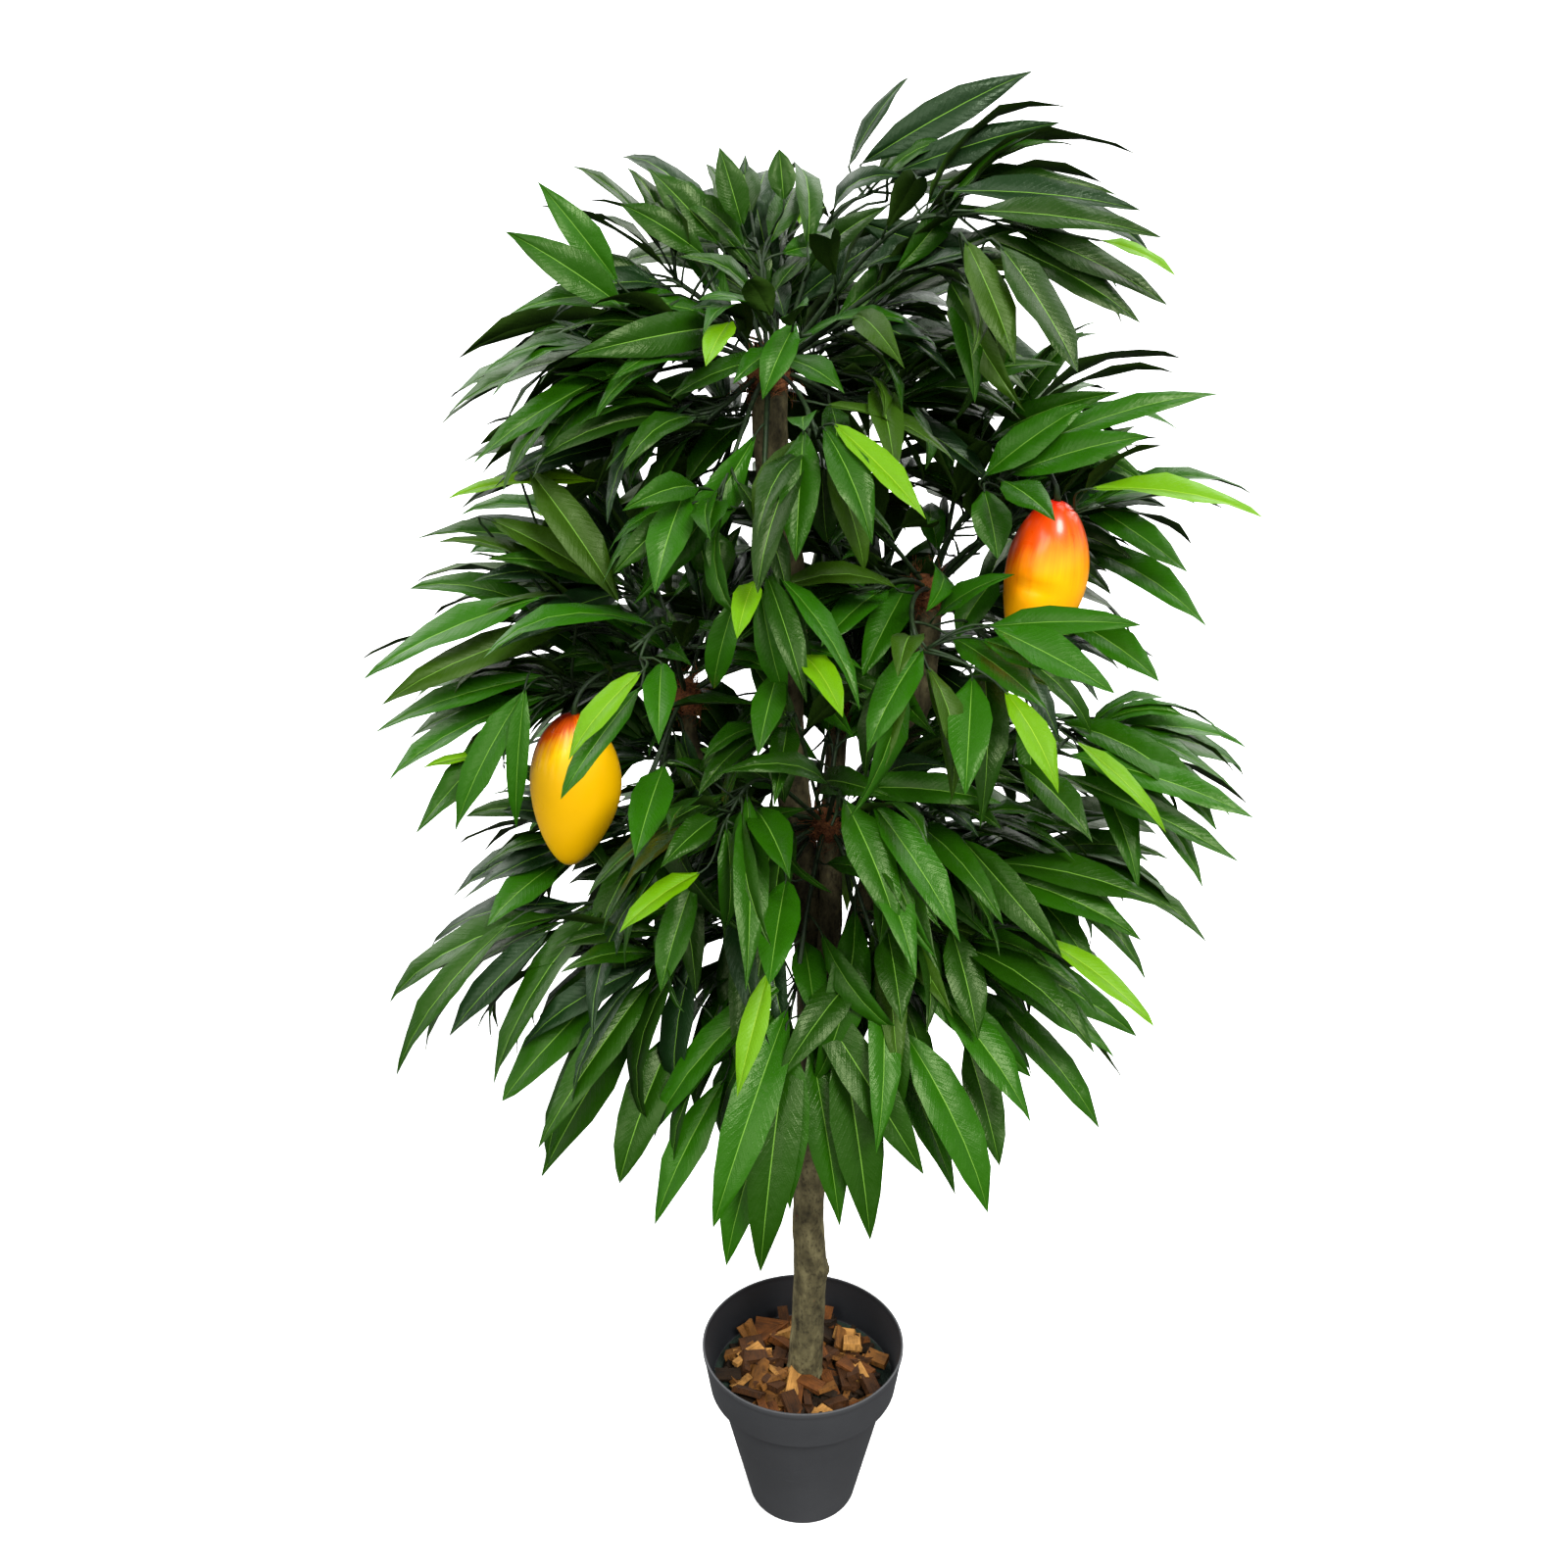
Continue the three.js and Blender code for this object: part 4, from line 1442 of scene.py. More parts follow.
FILL_IN = planned({
    "trunk": (
        ("veil_front", (-0.014, -0.046, 1.058), -80, 16, 0.086, 62, 4, 0, 0.6),
        ("veil_side", (-0.062, -0.036, 1.008), 204, -12, 0.118, 52, 5, 0, 0.7),
        ("veil_back_right", (0.058, 0.074, 0.976), 58, -20, 0.146, 56, 7),
        ("veil_back_left", (-0.052, 0.078, 0.968), 118, -20, 0.146, 56, 7),
        ("drop_back_right", (0.062, 0.062, 0.93), 66, -40, 0.128, 54, 6),
        ("drop_back_left", (-0.07, 0.062, 0.924), 122, -40, 0.128, 54, 6),
    ),
    "pole_right": (
        ("mid_right", (0.128, 0.004, 0.904), 4, 4, 0.12, 56, 5, 0, 0.7),
    ),
    "pole_left": (
        ("low_left_side", (-0.128, -0.02, 0.69), 196, -22, 0.128, 54, 5, 0, 0.7),
    ),
    "pole_front": (
        ("low_front_left", (-0.056, -0.052, 0.622), -122, -34, 0.124, 56, 5),
        ("low_front_right", (0.062, -0.048, 0.618), -52, -34, 0.124, 56, 5),
        ("low_left", (-0.084, -0.012, 0.634), 186, -26, 0.128, 54, 5),
        ("low_right", (0.088, -0.008, 0.628), -6, -26, 0.128, 54, 5),
        ("mid_front", (-0.012, -0.052, 0.792), -100, -16, 0.112, 60, 5, 0, 0.6),
        ("low_core_left", (-0.038, -0.024, 0.592), 212, -50, 0.128, 58, 6),
        ("low_core_right", (0.046, -0.02, 0.59), -32, -50, 0.128, 58, 6),
    ),
    "pole_back": (
        ("low_core_back", (0.004, 0.05, 0.6), 90, -48, 0.13, 62, 6),
        ("mid_back_right", (0.062, 0.098, 0.8), 66, -18, 0.146, 54, 6),
        ("mid_back_left", (-0.05, 0.098, 0.806), 114, -18, 0.146, 54, 6),
    ),
})
FIRST_SEED = 101


@dataclass(frozen=True)
class PlacedLeaf:
    """A leaf with a place of its own, from the base of its blade to its tip.

    Facing is how far its upper face turns to the front. A young leaf is lime-green.
    """

    spray: str
    base: Vector
    tip: Vector
    width: float
    facing: float = 0.25
    young: bool = False


def seen(rows: Sequence[tuple], **more: bool) -> list[PlacedLeaf]:
    """Turns rows of leaves whose ends are given where the camera sees them into leaves."""
    return [PlacedLeaf(name, VIEW.place(base), VIEW.place(tip), *rest, **more)
            for name, base, tip, *rest in rows]


# Spray, base, tip, width and, for a grown leaf, how far it faces the front.
YOUNG_LEAVES = (
    ("top_left", (745, 328, -0.05), (720, 374, -0.122), 0.022),
    ("top_right", (1120, 245, -0.06), (1200, 282, -0.08), 0.016),
    ("front_top", (850, 432, -0.118), (945, 530, -0.168), 0.026),
    ("front_centre", (770, 592, -0.132), (752, 652, -0.191), 0.021),
    ("front_centre", (820, 668, -0.14), (860, 732, -0.208), 0.025),
    ("shoulder_left", (615, 492, -0.03), (455, 510, -0.05), 0.025),
    ("right_high", (1110, 499, -0.068), (1290, 529, -0.098), 0.031),
    ("right_middle", (1095, 755, -0.08), (1190, 850, -0.12), 0.019),
    ("front_right_high", (1025, 705, -0.15), (1080, 810, -0.2), 0.026),
    ("front_left_high", (655, 685, -0.15), (580, 776, -0.185), 0.025),
    ("front_left_low", (715, 890, -0.15), (632, 952, -0.19), 0.024),
    ("left_middle", (500, 770, -0.06), (428, 785, -0.08), 0.014),
    ("skirt_front", (785, 990, -0.155), (752, 1120, -0.21), 0.023),
    ("skirt_right", (1060, 955, -0.12), (1178, 1048, -0.165), 0.024),
)
YOUNG_LEAVES_BEHIND = (
    ("top_back", (-0.005, 0.115, 1.1), (0.01, 0.205, 1.085), 0.028),
    ("back_right_high", (0.15, 0.105, 0.92), (0.215, 0.165, 0.915), 0.026),
    ("back_left_high", (-0.15, 0.1, 0.872), (-0.215, 0.16, 0.872), 0.026),
    ("back_middle", (0.014, 0.17, 0.77), (0.03, 0.27, 0.73), 0.028),
    ("back_right", (0.148, 0.118, 0.812), (0.205, 0.19, 0.77), 0.026),
    ("skirt_back_left", (-0.09, 0.125, 0.59), (-0.145, 0.19, 0.505), 0.028),
    ("skirt_back", (0.016, 0.14, 0.575), (0.04, 0.215, 0.475), 0.028),
)
TOP_LEAVES = (
    ("top_right_high", (878, 168, 0.02), (1055, 72, 0.035), 0.03, 2.2),
    ("top_right_high", (866, 170, 0.03), (928, 78, 0.04), 0.017, 0.3),
    ("top_right_high", (915, 175, 0.0), (1082, 125, 0.005), 0.026, 1.4),
    ("top_right", (965, 195, -0.04), (1165, 215, -0.065), 0.028, 0.7),
    ("top_right", (985, 215, -0.06), (1187, 243, -0.095), 0.028, 0.8),
    ("top_right", (1030, 232, -0.03), (1192, 312, -0.06), 0.03, 0.7),
    ("top_right", (1005, 242, -0.03), (1164, 330, -0.065), 0.032, 0.7),
    ("top_right", (930, 190, 0.0), (1142, 200, -0.01), 0.024, 0.6),
    ("top_right_drop", (1020, 250, -0.095), (1100, 380, -0.14), 0.036),
    ("top_right_drop", (985, 245, -0.095), (1036, 372, -0.135), 0.03),
    ("top_left", (632, 290, -0.04), (548, 185, -0.025), 0.027, 1.6),
    ("top_left", (642, 318, -0.05), (515, 236, -0.04), 0.032, 1.6),
    ("top_left", (735, 250, 0.0), (660, 171, 0.015), 0.028, 1.6),
    ("top_left", (720, 262, -0.01), (632, 208, 0.0), 0.026, 1.4),
    ("top_centre", (758, 232, -0.01), (734, 150, 0.005), 0.024, 2.0),
    ("top_centre", (800, 205, 0.02), (795, 152, 0.035), 0.022, 1.8),
    ("veil_front", (792, 366, -0.022), (684, 408, -0.058), 0.026, 0.3),
    ("veil_front", (800, 352, -0.04), (748, 392, -0.07), 0.024, 0.2),
    ("veil_front", (800, 366, -0.04), (862, 402, -0.08), 0.028, 0.5),
    ("veil_front", (812, 330, -0.05), (778, 408, -0.085), 0.026, 0.6),
)
MIDDLE_LEAVES = (
    ("front_top", (820, 438, -0.115), (812, 573, -0.167), 0.031),
    ("front_top", (840, 436, -0.118), (890, 556, -0.173), 0.032),
    ("crown_left", (700, 500, -0.095), (668, 606, -0.15), 0.033, 0.3),
    ("veil_side", (766, 424, 0.02), (700, 496, -0.01), 0.034, 0.3),
    ("veil_side", (764, 470, 0.03), (722, 548, 0.0), 0.034, 0.3),
    ("left_high", (540, 480, -0.045), (632, 616, -0.09), 0.034, 0.6),
    ("left_high", (500, 530, -0.04), (628, 604, -0.07), 0.032, 0.4),
    ("front_centre", (794, 684, -0.122), (773, 772, -0.186), 0.026),
    ("front_left_high", (675, 676, -0.129), (672, 760, -0.2), 0.026),
    ("front_left_high", (655, 700, -0.14), (572, 816, -0.185), 0.027),
    ("left_middle", (560, 608, -0.06), (370, 694, -0.08), 0.036, 0.4),
    ("left_middle", (560, 690, -0.05), (382, 748, -0.07), 0.026, 0.5),
    ("left_middle", (546, 722, -0.05), (424, 851, -0.085), 0.032, 0.5),
    ("left_middle", (536, 704, -0.07), (464, 850, -0.105), 0.032, 0.4),
    ("left_middle", (536, 700, -0.08), (527, 845, -0.105), 0.02, 0.4),
    ("left_drop", (582, 874, 0.0), (497, 945, -0.06), 0.036, 0.5),
    ("right_high", (1022, 490, -0.064), (1077, 532, -0.12), 0.03, 0.6),
    ("right_high", (1040, 462, -0.03), (1245, 402, -0.02), 0.025, 0.7),
    ("right_high", (1030, 484, -0.04), (1172, 445, -0.06), 0.032, 0.9),
    ("right_high", (1004, 486, -0.045), (1110, 412, -0.04), 0.03, 0.9),
    ("right_high", (1004, 500, -0.05), (1018, 571, -0.085), 0.032, 0.3),
    ("right_high", (1104, 560, 0.03), (1232, 640, -0.06), 0.036, 0.7),
    ("right_high", (1096, 505, 0.01), (1212, 584, -0.05), 0.032, 0.7),
    ("right_shoulder", (1018, 588, 0.01), (976, 652, -0.02), 0.032, 0.3),
    ("right_shoulder", (952, 632, -0.06), (1036, 586, -0.09), 0.024, 0.6),
    ("right_shoulder", (1085, 630, 0.01), (1183, 696, -0.06), 0.034, 0.6),
    ("right_shoulder", (985, 690, -0.07), (1070, 700, -0.1), 0.028, 0.3),
    ("front_right_high", (1006, 640, -0.105), (1165, 638, -0.14), 0.026, 0.8),
    ("front_right_high", (1012, 640, -0.12), (1138, 708, -0.165), 0.036, 0.6),
    ("front_right_high", (1000, 652, -0.11), (1094, 694, -0.15), 0.032, 0.5),
    ("front_right_high", (972, 650, -0.09), (1068, 724, -0.152), 0.036),
    ("front_right_high", (992, 690, -0.124), (985, 812, -0.197), 0.034),
    ("front_right_high", (942, 662, -0.129), (885, 768, -0.18), 0.032),
    ("centre_right", (905, 600, -0.02), (838, 660, -0.09), 0.032, 0.5),
    ("centre_right", (930, 590, 0.0), (880, 690, -0.07), 0.032, 0.5),
    ("right_middle", (1090, 770, -0.06), (1280, 835, -0.11), 0.034, 0.4),
    ("right_middle", (1080, 790, -0.06), (1265, 880, -0.11), 0.032, 0.4),
    ("right_middle", (1040, 780, -0.07), (1115, 860, -0.13), 0.034, 0.4),
)
LOW_LEAVES = (
    ("front_left_low", (678, 780, -0.1), (648, 876, -0.186), 0.033),
    ("front_left_low", (771, 826, -0.114), (806, 897, -0.202), 0.034),
    ("front_left_low", (802, 898, -0.122), (785, 1005, -0.21), 0.034),
    ("front_left_low", (708, 898, -0.105), (674, 1012, -0.155), 0.03),
    ("front_right_low", (861, 815, -0.135), (915, 948, -0.197), 0.036),
    ("front_right_low", (888, 817, -0.135), (980, 962, -0.201), 0.036),
    ("low_front_right", (905, 948, -0.085), (920, 1046, -0.147), 0.034),
    ("right_inner", (970, 946, -0.085), (998, 1062, -0.14), 0.034),
    ("low_front_left", (820, 960, -0.07), (832, 1042, -0.132), 0.03),
    ("right_low", (1010, 880, -0.07), (1196, 930, -0.115), 0.036, 0.4),
    ("right_low", (1000, 890, -0.075), (1165, 960, -0.12), 0.036, 0.4),
    ("skirt_left", (525, 938, -0.07), (404, 1099, -0.115), 0.03),
    ("skirt_left", (560, 950, -0.07), (458, 1058, -0.11), 0.03, 0.3),
    ("skirt_front_left", (622, 1004, -0.09), (512, 1124, -0.135), 0.042, 0.4),
    ("skirt_front_left", (660, 1020, -0.08), (552, 1202, -0.13), 0.044, 0.5),
    ("skirt_front_left", (690, 1050, -0.1), (632, 1208, -0.162), 0.04, 0.4),
    ("skirt_front_left", (740, 1100, -0.13), (668, 1250, -0.18), 0.034),
    ("skirt_front", (802, 1090, -0.13), (741, 1292, -0.192), 0.04),
    ("skirt_front", (802, 1050, -0.135), (806, 1236, -0.197), 0.037),
    ("skirt_front", (826, 1060, -0.12), (857, 1252, -0.178), 0.036),
    ("skirt_front", (856, 1046, -0.12), (888, 1266, -0.182), 0.046),
    ("skirt_front_right", (922, 1052, -0.11), (1008, 1238, -0.172), 0.043),
    ("skirt_front_right", (905, 1050, -0.09), (975, 1220, -0.15), 0.034),
    ("skirt_front_right", (955, 1010, -0.1), (1052, 1146, -0.16), 0.036, 0.3),
    ("skirt_front_right", (985, 1060, -0.095), (1020, 1190, -0.15), 0.034, 0.3),
    ("skirt_right", (1000, 985, -0.09), (1138, 1080, -0.14), 0.034, 0.3),
    ("skirt_right", (1000, 1010, -0.07), (1122, 1152, -0.12), 0.034, 0.3),
)
PLACED_LEAVES = (
    *seen(YOUNG_LEAVES, young=True),
    *[PlacedLeaf(name, Vector(base), Vector(tip), width, young=True)
      for name, base, tip, width in YOUNG_LEAVES_BEHIND],
    *seen((*TOP_LEAVES, *MIDDLE_LEAVES, *LOW_LEAVES)),
)


@dataclass(frozen=True)
class Opening:
    """A straight passage that rule-grown leaves keep out of, so that something shows or is lit.

    It runs from a far end to a spot, and as far behind the spot as is asked.
    """

    spot: Vector
    radius: float
    behind: float = 0.0
    far_end: Vector = EYE

    def clear_of(self, place: Vector, gap: float) -> bool:
        """Tests whether a place lies outside the passage.

        Args:
            place: The place.
            gap: Unused, because the passage's radius holds its own.

        Returns:
            True if it does.
        """
        line = self.spot - self.far_end
        along = line.normalized()
        depth = (place - self.far_end).dot(along)
        if depth > line.length + self.behind:
            return True
        return (place - self.far_end - along * depth).length > self.radius


SHOWN_WOOD = (
    ((-0.026, 0.0, 0.978), 0.014),
    ((-0.026, 0.0, 0.994), 0.013),
    ((0.086, 0.02, 0.812), 0.01),
    ((0.015, -0.016, 0.692), 0.012),
    ((-0.088, 0.01, 0.786), 0.01),
)
SKY_GAPS = (
    ((852, 772, 0.0), 0.016),
    ((870, 905, 0.0), 0.013),
    ((755, 697, 0.0), 0.014),
    ((930, 553, 0.0), 0.012),
    ((990, 562, 0.0), 0.016),
    ((978, 632, 0.0), 0.011),
    ((727, 970, 0.0), 0.011),
    ((1045, 320, 0.0), 0.016),
    ((700, 291, 0.0), 0.013),
    ((751, 130, 0.0), 0.013),
    ((856, 143, 0.0), 0.01),
)
SKY_BEHIND = 0.5
HOLLOWS = (
    ((955, 418, -0.06), 0.012),
)
LEAF_CLEARANCE = 0.01
CLEARED_SHARES = (0.35, 0.7)

# How far leaves keep out of the light's way, how much of the shown wood is lit, and how wide
# the lights' passages are against what they light.
LIGHT_REACH = 0.4
LIT_WOOD = 2
WOOD_LIGHT = 1.4
FRUIT_LIGHT = 0.75
FRUIT_SPOTS = (-0.3, 0.1)


@dataclass(frozen=True)
class LeafPlace:
    """Where one leaf goes and how it is shaped. Angles are in degrees."""

    base: Vector
    tip: Vector
    up: Vector
    width: float
    arch: float
    fold: float
    twist: float
    phase: float
    taper: float
    tint: Tint | None

    def line(self) -> tuple[Vector, ...]:
        """Bends the leaf's midrib.

        Returns:
            The four control points of its curve.
        """
        chord = self.tip - self.base
        lift = square_to(self.up, chord.normalized()) * (self.arch * chord.length)
        near = self.base + chord * 0.32 + lift * 1.2
        far = self.base + chord * 0.72 + lift * 1.45
        return self.base, near, far, self.tip


@dataclass
class LeafBlade:
    """A leaf of unit size and sixty faces, closed and thin, that is bent into each leaf's place.

    The outline gives the half width at each share of the length. Each row across has five
    corners, which hold the side in X, the row's number in Y, and the lower face in Z.
    """

    outline: tuple[Span, ...] = (
        (0.0, 0.0), (0.1, 0.38), (0.24, 0.82), (0.41, 1.0),
        (0.59, 0.89), (0.76, 0.58), (0.9, 0.24), (1.0, 0.0),
    )
    rib: float = 0.023
    keel: float = 0.0011
    ripple: float = 0.068
    ripples: float = 1.9
    ripple_offset: float = 1.9
    fold_easing: float = 0.4
    merge: float = 1e-5
    mesh: bpy.types.Mesh = field(init=False)

    def __post_init__(self) -> None:
        """Makes the flat leaf, whose materials are 0 above, 1 on the rib and 2 below."""
        corners = ((-1.0, 0.0), (-self.rib, 0.0), (self.rib, 0.0), (1.0, 0.0), (0.0, -1.0), (-1.0, 0.0))
        skins = (0, 1, 0, 2, 2)
        bm = bmesh.new()
        last = len(self.outline) - 1
        bmesh.ops.create_grid(bm, x_segments=len(skins), y_segments=last, size=1.0)
        for face in bm.faces:
            face.material_index = skins[int((face.calc_center_median().x + 1) / 2 * len(skins))]
        for vert in bm.verts:
            side, layer = corners[round((vert.co.x + 1) / 2 * len(skins))]
            row = round((vert.co.y + 1) / 2 * last)
            vert.co = (0.0, row, 0.0) if row in (0, last) else (side, row, layer)
        bmesh.ops.remove_doubles(bm, verts=bm.verts, dist=self.merge)
        uv = bm.loops.layers.uv.new("leaf")
        for face in bm.faces:
            face.smooth = True
            for loop in face.loops:
                side, row, _ = loop.vert.co
                loop[uv].uv = ((side + 1) / 2, self.outline[round(row)][0])
        upper = [face for face in bm.faces if face.material_index < 2]
        lower = [face for face in bm.faces if face.material_index == 2]
        bmesh.ops.triangulate(bm, faces=upper, quad_method="FIXED")
        bmesh.ops.triangulate(bm, faces=lower, quad_method="ALTERNATE")
        bmesh.ops.recalc_face_normals(bm, faces=bm.faces)
        for edge in bm.edges:
            edge.smooth = len({face.material_index == 2 for face in edge.link_faces}) == 1
        LOG.info("leaf: %d faces", len(bm.faces))
        self.mesh = bpy.data.meshes.new("leaf_blade")
        bm.to_mesh(self.mesh)
        bm.free()

    def add(self, bm: BMesh, place: LeafPlace, numbers: Sequence[int]) -> None:
        """Adds one leaf to a mesh.

        Args:
            bm: The mesh.
            place: Where the leaf goes.
            numbers: Material numbers of the upper face, the rib and the lower face.
        """
        first_vert, first_face = len(bm.verts), len(bm.faces)
        bm.from_mesh(self.mesh)
        bm.verts.ensure_lookup_table()
        bm.faces.ensure_lookup_table()
        line = place.line()
        rows = []
        for share, half in self.outline:
            centre, along = bezier(line, share)
            over = square_to(place.up, along)
            turn = Matrix.Rotation(math.radians(place.twist * share), 3, along)
            half = half**place.taper * place.width / 2
            rows.append((centre, turn @ along.cross(over), turn @ over, share, half))
        for vert in bm.verts[first_vert:]:
            side, row, layer = vert.co
            centre, across, over, share, half = rows[round(row)]
            fold = math.radians(place.fold * (1 - self.fold_easing * share))
            offset = self.ripple_offset if side > 0 else 0.0
            wave = math.sin(place.phase + self.ripples * 2 * math.pi * share + offset)
            height = abs(side) * half * math.sin(fold)
            height += wave * self.ripple * place.width * side * side * min(1.0, 4 * (1 - share))
            height += layer * self.keel * min(1.0, half / (0.3 * place.width))
            vert.co = centre + across * (side * half * math.cos(fold)) + over * height
        for face in bm.faces[first_face:]:
            face.material_index = numbers[face.material_index]


class Wobble:
    """The repeatable random numbers, between -1 and 1, that also shape the solids' lobes."""

    def __init__(self, seed: int) -> None:
        """Starts the row of numbers."""
        self.state = seed

    def __call__(self) -> float:
        """The next number."""
        self.state = (self.state * 1664525 + 1013904223) % 2**32
        return self.state / 2**31 - 1


@dataclass(frozen=True)
class BranchingRule:
    """How a spray forks and sets its leaves. Lengths are in metres and angles in degrees."""

    stray: float = 4.0
    side_droop: float = 16.0
    side_short: float = 0.16
    unevenness: float = 0.09
    outer_reach: Span = (0.9, 1.04)
    outer_lift: float = 9.0
    twig_sides: tuple[float, ...] = (-0.7, 0.0, 0.7)
    twig_reach: Span = (0.002, 0.022)
    twig_back: Span = (0.03, 0.1)
    twig_lift: Span = (-4.0, 14.0)
    twig_droop: float = 0.6
    first_fork: float = 0.3
    twig_feet: Span = (0.3, 1.0)
    twig_choice: float = 0.3
    stem_steps: int = 10
    twig_steps: int = 5
    petiole: Span = (0.008, 0.02)
    petiole_rise: float = 0.3
    stem_radius: float = 0.0018
    twig_radius: float = 0.0013
    petiole_radius: float = 0.0009
    long_petiole: float = 0.024
    petiole_steps: tuple[int, int] = (2, 7)
    upper_stray: float = 0.12
    upper_spread: float = 0.92
    upper_droopy: float = 1.15
    upper_lift: Span = (8.0, 24.0)
    upper_reach: Span = (0.68, 0.96)
    upper_share: float = 0.78
    crest_lift: Span = (26.0, 52.0)
    crest_reach: Span = (0.5, 0.76)
    crests: int = 3
    under_lift: Span = (-34.0, -12.0)
    under_reach: Span = (0.55, 0.85)
    unders: int = 4
    off_fan_side: float = 0.8
    off_fan_droopy: float = 1.3
    stem_leaf_step: float = 0.022
    stem_leaf_length: Span = (0.085, 0.135)
    stem_leaf_shares: Span = (0.16, 0.86)
    stem_leaf_jitter: Span = (0.1, 0.9)
    stem_leaf_ahead: Span = (0.3, 0.8)
    stem_leaf_aside: Span = (0.5, 1.0)
    stem_leaf_rise: Span = (-0.35, 0.55)
    stem_leaf_drop: float = 0.25
    stem_leaf_roll: float = 1.4
    slimness: Span = (0.188, 0.246)
    placed_width: float = 0.87
    placed_arch: Span = (0.04, 0.11)
    placed_twist: float = 0.4
    placed_feet: tuple[float, ...] = (0.4, 0.6, 0.8, 1.0)
    bright: float = 0.6
    taper: Span = (0.8, 1.25)
    leaf_width: Span = (0.021, 0.038)
    arch: Span = (0.08, 0.18)
    fold: Span = (5.0, 21.0)
    twist: float = 18.0
    side_roll: float = 14.0
    roll: float = 21.0
    inner_turn: float = 0.3
    inner_fall: float = 14.0
    inner_pitch: Span = (-10.0, 55.0)
    inner_stem: Span = (0.045, 0.085)
    inner_reach: Span = (0.105, 0.14)
    inner_spread: float = 56.0
    inner_outer: int = 4
    inner_front: float = 45.0
    tested_shares: tuple[float, ...] = (0.08, 0.22, 0.36, 0.5, 0.64, 0.78, 0.92)
    gap: float = 0.008
    tries: int = 8

    def inner_plans(self, limb: str, top: Vector, count: int, rng: random.Random) -> Iterator[SprayPlan]:
        """Plans the short sprays that fill the crown round a tuft.

        Args:
            limb: The limb's name.
            top: The limb's cut top.
            count: How many sprays there are.
            rng: Source of random numbers.

        Yields:
            The plans, spaced evenly round the limb except straight in front of it.
        """
        for i in range(count):
            turn = (i + 0.5 + rng.uniform(-self.inner_turn, self.inner_turn)) / count
            heading = -90 + self.inner_front + (360 - 2 * self.inner_front) * turn
            pitch = rng.uniform(*self.inner_pitch)
            hub = top + aim(heading, pitch) * rng.uniform(*self.inner_stem)
            reach = rng.uniform(*self.inner_reach)
            yield SprayPlan(f"inner_{limb}_{i}", (hub.x, hub.y, hub.z), heading, pitch - self.inner_fall,
                            reach, self.inner_spread, self.inner_outer)


